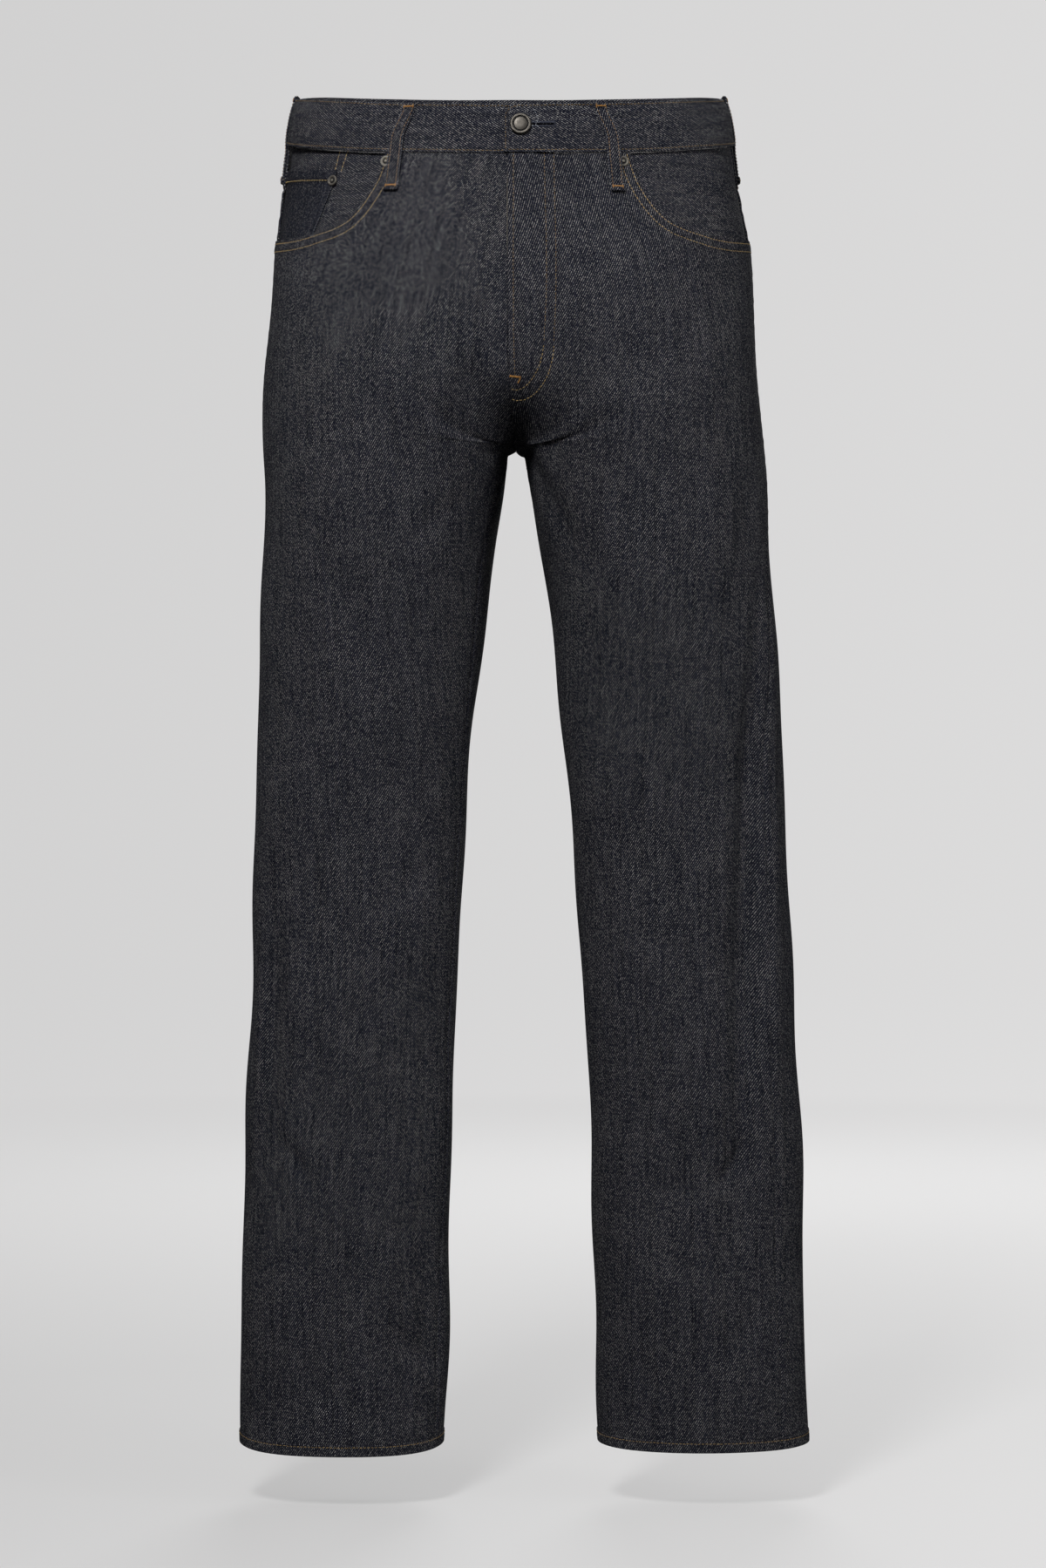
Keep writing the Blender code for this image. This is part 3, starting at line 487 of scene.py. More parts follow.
@dataclass(frozen=True)
class Waist:
    """The waistband's middle line: z = side_z + tilt y - bow y y, on the outline at height 0."""

    form: Form
    side_z: float = 0.0052
    tilt: float = 0.2
    bow: float = 0.468
    half: float = 0.0195
    gap: float = 0.0003
    side_lean: float = 0.005
    side_reach: float = 0.1
    lean_drop: float = 0.3

    @cached_property
    def rounds(self) -> dict[Side, Pair]:
        """For each half, the distance run along its outline at height 0, and the y there."""
        return {side: self.form.round_at(side, 0.0)[::2] for side in Side}

    def girth(self, side: Side) -> float:
        """Length of a half of the waist."""
        return float(self.rounds[side][0][-1])

    def middle(self, side: Side, share: Values) -> Array:
        """Height of the band's middle line."""
        run, y = self.rounds[side]
        y = np.interp(np.asarray(share) * run[-1], run, y)
        return self.side_z + self.tilt * y - self.bow * y * y

    def foot(self, side: Side, share: Values) -> Array:
        """Height of the top edge of what is sewn under the band."""
        return self.middle(side, share) - self.half - self.gap

    def lean(self, share: Array, up: Array) -> Array:
        """How far the band's top leans inwards at the side seams: a bell across, a power up."""
        way = np.clip((up + self.half) / (2 * self.half), 0, 1)
        reach = self.side_lean * bell((share - 0.5) / self.side_reach)
        return reach * (0.35 * way + 0.65 * way ** 6)

    def ring(self, distance: Array, up: Array, lift: Array) -> Pair:
        """Points and normals on the waist's ring.

        Args:
            distance: Run from the centre front over the wearer's left; past the girth, or below
                0, it goes on over the other half's front.
            up: Height over the middle line.
            lift: Distance out from the form.

        Returns:
            The points and the normals.
        """
        left, right = self.girth(L), self.girth(R)
        distance, up, lift = together(distance, up, lift)
        again = distance > left + right
        on_left = (distance >= 0) & (distance <= left) | again
        left_share = np.where(again, distance - left - right, distance) / left
        right_share = np.where(distance < 0, -distance, left + right - distance) / right
        points, normals = np.zeros(distance.shape + (3,)), np.zeros(distance.shape + (3,))
        for side, share, mask in ((L, left_share, on_left), (R, right_share, ~on_left)):
            if not mask.any():
                continue
            share = np.clip(share[mask], 0, 1)
            z = self.middle(side, share) + up[mask]
            lean = self.lean(share, up[mask])
            place, normal = self.form.skin(side, share, z, lift[mask] - lean)
            place[..., 2] -= self.lean_drop * lean
            at_seam = np.isclose(share, 0.0) | np.isclose(share, 1.0)
            place[..., 0] = np.where(at_seam, self.form.column("seam", z), place[..., 0])
            points[mask], normals[mask] = place, normal
        return points, normals


# Meshes

def linked(name: str, data: bpy.types.ID, **settings: object) -> Piece:
    """An object of the scene, with settings of its own."""
    result = bpy.data.objects.new(name, data)
    for key, value in settings.items():
        setattr(result, key, value)
    bpy.context.scene.collection.objects.link(result)
    return result

def put_mesh(name: str, points: Array, faces: list[Array], materials: list[Material],
             slots: list[Array] | None = None, cut: Array | None = None, sharp: float = 80.0,
             merge: float = 0.0) -> Piece:
    """A smooth mesh object from arrays, with its faces outwards.

    Args:
        name: The piece's name.
        points: Vertices, (n, 3).
        faces: Arrays of faces, each with one number of corners.
        materials: Its materials.
        slots: For each array of faces, the material index of each face.
        cut: UV of each vertex.
        sharp: Angle in degrees past which an edge is sharp.
        merge: Distance within which vertices become one.

    Returns:
        The object.
    """
    mesh = bpy.data.meshes.new(name)
    corners = np.concatenate([f.ravel() for f in faces]).astype(np.int32)
    counts = np.concatenate([np.full(len(f), f.shape[1]) for f in faces]).astype(np.int32)
    starts = np.concatenate([[0], np.cumsum(counts)[:-1]]).astype(np.int32)
    mesh.vertices.add(len(points))
    mesh.vertices.foreach_set("co", np.ascontiguousarray(points, np.float32).ravel())
    mesh.loops.add(len(corners))
    mesh.loops.foreach_set("vertex_index", corners)
    mesh.polygons.add(len(counts))
    mesh.polygons.foreach_set("loop_start", starts)
    if slots is not None:
        mesh.polygons.foreach_set("material_index", np.concatenate(slots).astype(np.int32))
    if cut is not None:
        layer = mesh.uv_layers.new(name=UV_NAME)
        layer.data.foreach_set("uv", np.ascontiguousarray(cut[corners], np.float32).ravel())
    mesh.update(calc_edges=True)
    for material in materials:
        mesh.materials.append(material)
    tidy = bmesh.new()
    tidy.from_mesh(mesh)
    if merge > 0:
        bmesh.ops.remove_doubles(tidy, verts=tidy.verts, dist=merge)
    bmesh.ops.recalc_face_normals(tidy, faces=tidy.faces)
    tidy.to_mesh(mesh)
    tidy.free()
    mesh.shade_smooth()
    mesh.set_sharp_from_angle(angle=math.radians(sharp))
    return linked(name, mesh)


def grid_index(rows: int, columns: int, ring: bool) -> Array:
    """Numbers of a grid's points; the last column of a ring is its first."""
    index = np.arange(rows * columns).reshape(rows, columns)
    return np.concatenate([index, index[:, :1]], axis=1) if ring else index


def grid_faces(rows: int, columns: int, ring: bool = False) -> Array:
    """Quads between the points of a grid."""
    index = grid_index(rows, columns, ring)
    quads = np.stack([index[:-1, :-1], index[:-1, 1:], index[1:, 1:], index[1:, :-1]], axis=-1)
    return quads.reshape(-1, 4)


def rim_faces(rows: int, columns: int, ring: bool) -> Array:
    """Quads that join the edges of a grid to those of a second one whose points follow it."""
    index = grid_index(rows, columns, ring)
    lines = [index[0], index[-1]] if ring else [index[0], index[-1], index[:, 0], index[:, -1]]
    back = rows * columns
    return np.concatenate([np.stack([line[:-1], line[1:], back + line[1:], back + line[:-1]],
                                    axis=-1) for line in lines])


@dataclass(frozen=True)
class Weave:
    """A cloth's thickness, its two faces' materials, and how far its cut edges are rounded."""

    thickness: float
    outside: Material
    inside: Material
    rounding: float = 0.00025


@dataclass
class Sheet:
    """A grid of points on a cloth's outer face, with normals and with its place on the cut."""

    points: Array
    normals: Array
    cut: Array
    ring: bool = False

    def wall(self, name: str, weave: Weave, hold: tuple[Form, Side, Array] | None = None,
             depth: Array | None = None) -> Piece:
        """A closed wall whose outer face is the grid and whose inner one lies within it.

        Args:
            name: The piece's name.
            weave: Thickness and materials.
            hold: Form, half and heights by which the inner face keeps to its side too.
            depth: The thickness at each point, where it varies.

        Returns:
            The piece.
        """
        depth = weave.thickness if depth is None else depth[..., None]
        inner = self.points - self.normals * depth
        outer = self.points.copy()
        edges = [(0, slice(None)), (-1, slice(None))]
        if not self.ring:
            edges += [(slice(None), 0), (slice(None), -1)]
        for edge in edges:
            outer[edge] -= self.normals[edge] * weave.rounding
            inner[edge] += self.normals[edge] * weave.rounding
        if hold is not None:
            hold[0].hold_seam(hold[1], inner, hold[2])
        rows, columns = outer.shape[:2]
        front = grid_faces(rows, columns, self.ring)
        faces = [front, front[:, ::-1] + rows * columns, rim_faces(rows, columns, self.ring)]
        slots = [np.full(len(f), k) for f, k in zip(faces, (0, 1, 0))]
        points = np.concatenate([outer.reshape(-1, 3), inner.reshape(-1, 3)])
        cut = np.concatenate([self.cut.reshape(-1, 2)] * 2)
        return put_mesh(name, points, faces, [weave.outside, weave.inside], slots, cut)

    def area(self) -> float:
        """Area of the outer face."""
        p = np.concatenate([self.points, self.points[:, :1]], axis=1) if self.ring else self.points
        a, b = p[1:, 1:] - p[:-1, :-1], p[1:, :-1] - p[:-1, 1:]
        return float(np.linalg.norm(np.cross(a, b), axis=2).sum() / 2)

    def declare(self) -> None:
        """Works out the rectangle that holds the piece's cut, and its own area, but keeps neither.
        """
        steps = [np.linalg.norm(np.diff(self.points, axis=k), axis=2).sum(axis=k) for k in (0, 1)]
        length, width = (max(float(step.max()), LEAST_FLAT) for step in steps)
        area = self.area()
        if area > width * length:
            width = area / length

    def piece(self, node: str, weave: Weave, slot: str, **how: object) -> Piece:
        """The wall, in place of the solid of that name; how goes on to wall."""
        piece = self.wall(node + "_cloth", weave, **how)
        self.declare()
        return hand_over(piece, slot, node)


def hand_over(piece: Piece, slot: str, *nodes: str) -> Piece:
    """Lets a piece ride on the part, in place of the solids that it stands for."""
    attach(piece, "root")
    if nodes:
        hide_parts(*nodes)
    LOG.info("%s: %d faces", piece.name, len(piece.data.polygons))
    return piece


# Shaders

def operator(operation: str) -> Callable[["Wire", "Wire | float"], "Wire"]:
    """An operator's method, which adds a Math node."""
    return lambda wire, other: wire.math(operation, other)


class Wire:
    """A socket that does maths: an operator on it adds its Math node and gives the result."""

    __add__ = __radd__ = operator("ADD")
    __mul__ = __rmul__ = operator("MULTIPLY")
    __sub__ = operator("SUBTRACT")
    __truediv__ = operator("DIVIDE")
    __lt__ = operator("LESS_THAN")

    def __init__(self, net: "Net", socket: bpy.types.NodeSocket) -> None:
        """Wraps a socket of a net."""
        self.net = net
        self.socket = socket

    def __rsub__(self, other: float) -> "Wire":
        """A number less this."""
        return (self * -1.0) + other

    def math(self, operation: str, *others: "Wire | float") -> "Wire":
        """A Math node on this and other values."""
        return self.net.node("ShaderNodeMath", {"operation": operation},
                             dict(enumerate((self, *others))))

    def floor(self) -> "Wire":
        """The whole number below."""
        return self.math("FLOOR")

    def fract(self) -> "Wire":
        """What is over the whole number below."""
        return self.math("FRACT")

    def held(self, low: float = 0.0, high: float = 1.0) -> "Wire":
        """This, held within two numbers."""
        return self.math("MAXIMUM", low).math("MINIMUM", high)


class Net:
    """The nodes of a new material, or of a world, with a last one whose sockets go by name."""

    def __init__(self, name: str, owners: object = None, last: str = "Principled BSDF") -> None:
        """Starts the material, or what else owners makes."""
        self.owner = (bpy.data.materials if owners is None else owners).new(name)
        self.owner.use_nodes = True
        self.tree = self.owner.node_tree
        self.shader = self.tree.nodes[last]

    def plug(self, socket: bpy.types.NodeSocket, value: object) -> None:
        """Gives a socket a link or a value."""
        if isinstance(value, Wire):
            self.tree.links.new(value.socket, socket)
        elif isinstance(value, tuple) and len(value) == 3 and socket.type == "RGBA":
            socket.default_value = (*value, 1.0)
        else:
            socket.default_value = value

    def node(self, kind: str, settings: dict, inputs: dict, output: int | str = 0) -> Wire:
        """A node of a type, with its settings, which come first, and its inputs."""
        node = self.tree.nodes.new(kind)
        for key, value in settings.items():
            setattr(node, key, value)
        for key, value in inputs.items():
            self.plug(node.inputs[key], value)
        return Wire(self, node.outputs[output])

    def surface(self, **sockets: object) -> object:
        """Sets the last node's sockets, whose names have _ for a space, and gives the owner."""
        for key, value in sockets.items():
            self.plug(self.shader.inputs[key.replace("_", " ")], value)
        return self.owner

    def split(self, vector: Wire) -> tuple[Wire, Wire, Wire]:
        """The three parts of a vector."""
        first = self.node("ShaderNodeSeparateXYZ", {}, {0: vector})
        return tuple(Wire(self, first.socket.node.outputs[k]) for k in range(3))

    def joined(self, x: Wire | float, y: Wire | float, z: Wire | float = 0.0) -> Wire:
        """A vector of three parts."""
        return self.node("ShaderNodeCombineXYZ", {}, {0: x, 1: y, 2: z})

    def cut(self) -> tuple[Wire, Wire]:
        """The place on the cloth's cut, in metres."""
        u, v, _ = self.split(self.node("ShaderNodeUVMap", {"uv_map": UV_NAME}, {}))
        return u, v

    def place(self, kind: str = "Object") -> Wire:
        """The place on the object, in metres, or another kind of place."""
        return self.node("ShaderNodeTexCoord", {}, {}, kind)

    def chance(self, vector: Wire) -> Wire:
        """An even random number for each whole-numbered vector."""
        return self.node("ShaderNodeTexWhiteNoise", {"noise_dimensions": "2D"}, {"Vector": vector})

    def noise(self, vector: Wire, scale: float, detail: float = 2.0) -> Wire:
        """Soft noise about 0.5."""
        return self.node("ShaderNodeTexNoise", {"noise_dimensions": "3D"},
                         {"Vector": vector, "Scale": scale, "Detail": detail})

    def spots(self, x: Wire, y: Wire, z: float = 0.0, scale: float = 1.0, detail: float = 2.0
              ) -> Wire:
        """Soft noise about 0 over a vector of three parts."""
        return self.noise(self.joined(x, y, z), scale, detail) - 0.5

    def mix(self, factor: Wire | float, a: Wire | Colour, b: Wire | Colour) -> Wire:
        """Two colours mixed."""
        return self.node("ShaderNodeMix", {"data_type": "RGBA"}, {0: factor, 6: a, 7: b}, 2)

    def scaled(self, colour: Wire | Colour, factor: Wire) -> Wire:
        """A colour times a number."""
        return self.node("ShaderNodeVectorMath", {"operation": "SCALE"}, {0: colour, 3: factor})

    def bumped(self, height: Wire, distance: float, strength: float) -> Wire:
        """A normal bent by a height in metres times distance."""
        return self.node("ShaderNodeBump", {}, {"Strength": strength, "Distance": distance,
                                                "Height": height})


@dataclass(frozen=True)
class Denim:
    """Right-hand twill: a pale weft shows as specks on steep diagonals between indigo warps.

    A cell is one warp thread wide and one pick high.  The weft is on top where the thread's
    number less the pick's is a multiple of 4.  How much of it shows changes from cell to cell,
    in short flecks, down the uneven warp threads, and in broad patches.
    """

    name: str
    warp: Colour = (0.0036, 0.0049, 0.0122)
    weft: Colour = (0.44, 0.425, 0.405)
    thread: float = 0.00045
    pick: float = 0.00068
    speck: float = 1.0
    ground: float = 1.0
    reverse: bool = False

    def build(self) -> Material:
        """The material."""
        net = Net(self.name)
        u, v = net.cut()
        drift = net.spots(u, v, scale=260.0)
        x, y = u / self.thread + drift * 0.9, v / self.pick + drift * 0.5
        i, j = x.floor(), y.floor()
        step = ((i - j) / 4.0).fract()
        over = 1.0 - (step < 0.1) if self.reverse else step < 0.1
        off_x, off_y = x.fract() - 0.5, y.fract() - 0.5
        oval = (1.4 - off_x * off_x * 3.2 - off_y * off_y * 3.6).held()
        luck = net.chance(net.joined(i, j))
        along, across = u * 0.55 + v * 0.84, u * 0.84 - v * 0.55
        fleck = net.spots(across * 700.0, along * 280.0)
        grain = net.spots(u * 850.0, v * 680.0, 7.0)
        streak = net.spots(u * 380.0, v * 14.0)
        line = net.spots(u * 1500.0, v * 38.0, 3.0, detail=1.0)
        patch = net.spots(u, v, scale=30.0, detail=3.0)
        slub = net.chance(net.joined(i, 0.0))
        mottle = (1.0 + fleck * 2.6 + grain * 3.6 + streak * 1.5 + line * 1.7
                  + patch * 0.9).held(0.05, 3.5)
        show = (over * oval * (luck * luck * 1.0 + 0.13) * mottle * self.speck).held()
        tone = (0.7 + mottle * 0.28 + slub * 0.45 + streak * 0.6) * self.ground
        dyed = net.scaled(self.warp, tone)
        fuzz = net.mix((luck * 0.016 + 0.003) * mottle * self.speck, dyed, self.weft)
        colour = net.mix(show, fuzz, self.weft)
        rib = ((x - y) / 4.0).fract() - 0.5
        height = 1.0 - rib * rib * 3.0 - off_x * off_x * 1.2 + luck * 0.25
        return net.surface(Base_Color=colour, Roughness=0.93,
                           Normal=net.bumped(height, 0.00022, 0.8), Specular_IOR_Level=0.1)


@dataclass(frozen=True)
class Plain:
    """A plain weave of one colour, for pocketing and tape."""

    name: str
    colour: Colour
    thread: float = 0.00045

    def build(self) -> Material:
        """The material."""
        net = Net(self.name)
        u, v = net.cut()
        x, y = u / self.thread, v / self.thread
        i, j = x.floor(), y.floor()
        even = ((i + j) / 2.0).fract() < 0.25
        off_x, off_y = x.fract() - 0.5, y.fract() - 0.5
        crown = even * (off_x * off_x) + (1.0 - even) * (off_y * off_y)
        luck = net.chance(net.joined(i, j))
        patch = net.noise(net.joined(u, v), 40.0, 3.0)
        # painted shade: each thread is darker towards its edges, where the bump sinks
        tone = 0.82 + luck * 0.12 + patch * 0.2 - crown * 0.5
        return net.surface(Base_Color=net.scaled(self.colour, tone), Roughness=0.9,
                           Normal=net.bumped(1.0 - crown * 3.0, 0.0001, 0.7),
                           Specular_IOR_Level=0.2)


@dataclass(frozen=True)
class Cotton:
    """Thread of two plies; its UV holds the stitch's number plus the way along, and a turn."""

    name: str
    colour: Colour
    spread: float = 0.35
    plies: float = 7.0

    def build(self) -> Material:
        """The material."""
        net = Net(self.name)
        u, v = net.cut()
        luck = net.chance(net.joined(u.floor(), 0.0))
        ply = ((u.fract() * self.plies + v).fract() - 0.5)
        groove = ply * ply * 4.0
        # painted shade: the grooves between the plies are darker, as well as sunk by the bump
        tone = 1.0 - self.spread / 2 + luck * self.spread - groove * 0.35
        return net.surface(Base_Color=net.scaled(self.colour, tone), Roughness=0.62,
                           Normal=net.bumped(1.0 - groove, 0.00008, 0.8),
                           Specular_IOR_Level=0.35)


@dataclass(frozen=True)
class Nickel:
    """Worn metal, dark in its grooves; its UV holds the radius and the height of the profile."""

    name: str
    bright: Colour
    grooves: tuple[tuple[float, float], ...]
    dark: Colour = (0.014, 0.013, 0.013)

    def build(self) -> Material:
        """The material."""
        net = Net(self.name)
        radius, _ = net.cut()
        place = net.place()
        grain = net.noise(place, 900.0, 4.0)
        blot = net.noise(place, 240.0, 2.0)
        shade = (blot * 1.6 - 0.62).held() * 0.35
        for centre, width in self.grooves:
            off = (radius - centre) / width
            shade = shade.math("MAXIMUM", (1.15 - off * off).held())
        colour = net.mix((shade + grain * 0.25 - 0.08).held(), self.bright, self.dark)
        return net.surface(Base_Color=colour, Metallic=1.0 - shade * 0.6,
                           Roughness=0.36 + grain * 0.22 + shade * 0.3,
                           Normal=net.bumped(grain, 0.00003, 0.6))


# Sewing

@dataclass(frozen=True)
class Thread:
    """A sewing thread: its material, radius, stitch length, and the gap between two stitches."""

    material: Material
    slot: str
    radius: float
    stitch: float = 0.003
    gap: float = 0.0006


@dataclass
class Sewing:
    """Stitches of one thread, gathered into one piece.

    A stitch is a tube of rings, each at a way along it, as wide as the thread's radius times a
    girth, and over the cloth by the radius times a height; the tips dip into the cloth.
    """

    name: str
    thread: Thread
    sides: int = 5
    seed: int = 7
    rings: tuple = ((0.1, 0.7, 0.0), (0.34, 1.0, 0.7), (0.66, 1.0, 0.7), (0.9, 0.7, 0.0))
    tip_ways: tuple[float, float] = (0.01, 0.99)
    tip_depth: float = 1.2
    jitter: float = 0.00012
    stitches: list[tuple] = field(default_factory=list)

    def add(self, starts: Array, ends: Array, normals: Array, size: float = 1.0) -> None:
        """Stitches from starts to ends; size scales the thread's radius."""
        self.stitches.append((starts, ends, normals, np.full(len(starts), size)))

    def row(self, line: Pair, stitch: float | None = None, size: float = 1.0,
            slack: float = 0.00012, kept: float = 1.0) -> None:
        """A row of stitches along a line of points and normals, each a little off it.

        Args:
            line: Points and normals.
            stitch: Length of a stitch and its gap, where not the thread's own.
            size: Scale of the thread's radius.
            slack: How far a stitch may lie beside the line.
            kept: The share of them that shows.
        """
        points, normals = line
        stitch = stitch or self.thread.stitch
        run = run_along(points)
        count = max(int(run[-1] / stitch), 1)
        rng = np.random.default_rng(self.seed + int(run[-1] * 1e5) % 9973)
        begin = (np.arange(count) + 0.5 * self.thread.gap / stitch) * run[-1] / count
        stop = begin + run[-1] / count - self.thread.gap
        jitter = rng.normal(0, self.jitter, count)
        places, ups = [], []
        for goal in (begin + jitter, stop + jitter):
            up = at_run(goal, run, normals)
            along = at_run(goal + 1e-3, run, points) - at_run(goal - 1e-3, run, points)
            side = unit(np.cross(along, up))
            places.append(at_run(goal, run, points) + side * rng.normal(0, slack, (count, 1)))
            ups.append(up)
        shown = rng.random(count) < kept
        self.add(places[0][shown], places[1][shown], (ups[0] + ups[1])[shown] / 2, size)

    def bar(self, line: Pair, height: float, pitch: float = 0.00042,
            size: float = 0.85) -> None:
        """A bar tack along a line: close strands across it, leaning to and fro."""
        points, normals = line
        run = run_along(points)
        count = max(int(run[-1] / pitch), 4)
        goals = (np.arange(count) + 0.5) * run[-1] / count
        place = at_run(goals, run, points)
        normal = at_run(goals, run, normals)
        along = unit(np.gradient(place, axis=0))
        rng = np.random.default_rng(self.seed + count)
        reach = height / 2 * (1 + rng.normal(0, 0.1, (count, 1)))
        lean = along * pitch * 0.35 * np.where(np.arange(count) % 2, 1, -1)[:, None]
        half = np.cross(along, normal) * reach + lean
        self.add(place - half, place + half, normal, size)

    def build(self) -> Piece:
        """The piece."""
        starts, ends, normals, sizes = (np.concatenate(a) for a in zip(*self.stitches))
        radius = (self.thread.radius * sizes)[:, None, None]
        run = ends - starts
        along = unit(run)
        side = unit(np.cross(along, normals))
        up = np.cross(side, along)
        way, girth, height = (column[:, None] for column in np.array(self.rings).T)
        turn = np.arange(self.sides) / self.sides
        rise = height + girth * np.sin(FULL_TURN * turn)
        swing = girth * np.cos(FULL_TURN * turn)
        rings = (starts[:, None, None] + run[:, None, None] * way[..., None]
                 + up[:, None, None] * (radius * rise)[..., None]
                 + side[:, None, None] * (radius * swing)[..., None])
        count, rows = len(starts), len(self.rings)
        dip = up * radius[:, 0] * self.tip_depth
        tips = np.stack([starts - dip, ends - dip], axis=1)
        points = np.concatenate([rings.reshape(count, -1, 3), tips], axis=1)
        number = np.arange(count)[:, None]
        rings_cut = np.stack(together(number[:, :, None] + way, turn), axis=-1)
        tips_cut = np.stack(together(number + np.array(self.tip_ways), 0.0), axis=-1)
        cut = np.concatenate([rings_cut.reshape(count, -1, 2), tips_cut], axis=1)
        first = np.arange(self.sides)
        after, last, tip = (first + 1) % self.sides, (rows - 1) * self.sides, rows * self.sides
        caps = np.concatenate([
            np.stack([after, first, np.full_like(first, tip)], axis=1),
            np.stack([first + last, after + last, np.full_like(first, tip + 1)], axis=1)])
        base = (np.arange(count) * points.shape[1])[:, None, None]
        faces = [(part[None] + base).reshape(-1, part.shape[1])
                 for part in (grid_faces(rows, self.sides, True), caps)]
        piece = put_mesh(self.name, points.reshape(-1, 3), faces, [self.thread.material],
                         cut=cut.reshape(-1, 2))
        return hand_over(piece, self.thread.slot)


# The pattern

def seam_relief(distance: Array, along: Array, seed: float) -> Array:
    """Relief beside a seam: a groove on it, the allowance's soft welt, and uneven puckers."""
    groove = -0.0005 * bell(distance / 0.0022)
    welt = 0.00045 * ease(distance / 0.003) * (1 - ease((distance - 0.01) / 0.005))
    strength = 0.65 + 0.35 * wobble(along / 0.085, seed + 3.0)
    pucker = 0.00042 * wobble(along / 0.0115, seed) * bell((distance - 0.004) / 0.008)
    return groove + welt + pucker * strength


@dataclass(frozen=True)
class Pattern:
    """Where the cut pieces of the trousers meet, in shares and heights."""

    form: Form
    waist: Waist
    mouth: tuple = ((0.0965, -0.036), (0.1055, -0.06), (0.1265, -0.0868), (0.156, -0.0962))
    mouth_end_z: float = -0.0922
    share_scale: float = 0.45
    side_share: float = 0.5
    hem_height: float = 0.0095
    yoke_at_side: float = 0.035
    yoke_at_back: float = 0.075
    seam_gap: float = 0.00006
    mouth_rows: int = 50
    fork_rows: int = 62
    leg_rows: int = 232
    apex_rows: int = 10
    apex_reach: float = 0.02

    def mouth_line(self, side: Side, count: int) -> Array:
        """The pocket mouth as shares and heights, from the waistband to the side seam."""
        points = np.array([(self.form.share_across(side, across, z), z)
                           for across, z in self.mouth] + [(self.side_share, self.mouth_end_z)])
        points[0, 1] = self.waist.foot(side, points[0, 0])
        return curve_points(points * (self.share_scale, 1.0), count) / (self.share_scale, 1.0)

    def fork_heights(self, side: Side, share: float, start_z: float, count: int) -> Array:
        """Heights that space points evenly along the centre seam, down to the crotch."""
        z = self.form.crotch_z + (start_z - self.form.crotch_z) * np.linspace(1, 0, 600) ** 3
        seam = self.form.trace(side, np.full((1, 600), share), z)[0][0]
        return even_run(seam[:, 1:], count)[:, 1]

    def leg_heights(self) -> Array:
        """Heights of the rows from just under the crotch down to the hem's top."""
        foot = self.form.crotch_z - self.form.hem_z - self.hem_height - self.seam_gap
        near = self.apex_reach * np.linspace(0, 1, self.apex_rows + 1)[1:] ** 2
        even = np.linspace(self.apex_reach, foot, self.leg_rows + 1)[1:]
        return self.form.crotch_z - np.concatenate([near, even])

    def yoke_line(self, side: Side, share: Values) -> Array:
        """Height of the yoke seam: it drops from the side seam to the centre back."""
        way = (np.asarray(share) - self.side_share) / (1 - self.side_share)
        at_side, at_back = (self.waist.middle(side, s) - self.waist.half
                            for s in (self.side_share, 1.0))
        return (at_side - self.yoke_at_side) * (1 - way) + (at_back - self.yoke_at_back) * way


@dataclass
class Panel:
    """A cloth piece over a grid of shares and heights, whose outer face has a relief."""

    pattern: Pattern
    side: Side
    weave: Weave
    slot: str = "denim"
    ring: ClassVar[bool] = False
    holds: ClassVar[bool] = False

    @property
    def form(self) -> Form:
        """The trousers' form."""
        return self.pattern.form

    @property
    def seed(self) -> float:
        """What sets this half's puckers apart."""
        return 2.0 * self.side.value

    def length(self, z: Values) -> Array:
        """Length of this half's outline."""
        return self.form.measure(self.side, z)[0]

    def foot(self, share: Values) -> Array:
        """Height of the waistband's foot."""
        return self.pattern.waist.foot(self.side, share)

    def hung(self, share: Array, down: Array, foot: Values) -> list[Array]:
        """Grid from the waistband's foot to another one, at ways down."""
        return together(share, self.foot(share) * (1 - down) + foot * down)

    def outseam(self, z: Values) -> Array:
        """Share of the side seam at a height."""
        return self.pattern.side_share + self.form.turned("outseam", self.side, z)

    def inseam(self, z: Values) -> Array:
        """Share of the inseam at a height, near 0."""
        return self.form.turned("inseam", self.side, z)

    def edge(self, z: Array) -> Array:
        """Half the gap between two panels, as a share."""
        return self.pattern.seam_gap / 2 / self.length(z)

    def between(self, start: Pair, end: Pair) -> list[Array]:
        """Grid of shares and heights from one edge to the other."""
        way = crowded(self.columns)[None, :]
        return [a[:, None] + (b - a)[:, None] * way for a, b in zip(start, end)]

    def lift(self, share: Array, z: Array, length: Array) -> Array:
        """The outer face's distance out from the form."""
        raise NotImplementedError

    def grid(self) -> Pair:
        """Shares and heights of the grid."""
        raise NotImplementedError

    def on(self, share: Array, z: Array, extra: float = 0.0) -> Pair:
        """Points and normals on the outer face."""
        share, z = together(share, z)
        lift = self.lift(share, z, self.length(z))
        return self.form.skin(self.side, share, z, lift + extra)

    def on_cut(self, line: Array) -> Pair:
        """Points and normals at places (metres round from share 0, height)."""
        return self.on(line[:, 0] / self.length(line[:, 1]), line[:, 1])

    def cloth_cut(self, share: Array, z: Array, length: Array) -> Array:
        """The place on the cut: metres round from the outline's widest place, and the height."""
        before = self.form.measure(self.side, z)[1]
        return np.stack([self.side.value * (share * length - before), z], axis=-1)

    def build(self, node: str) -> Piece:
        """The panel, in place of its solid."""
        share, z = self.grid()
        cut = self.cloth_cut(share, z, self.length(z))
        sheet = Sheet(*self.on(share, z), cut, self.ring)
        return sheet.piece(node, self.weave, self.slot,
                           hold=(self.form, self.side, z) if self.holds else None)


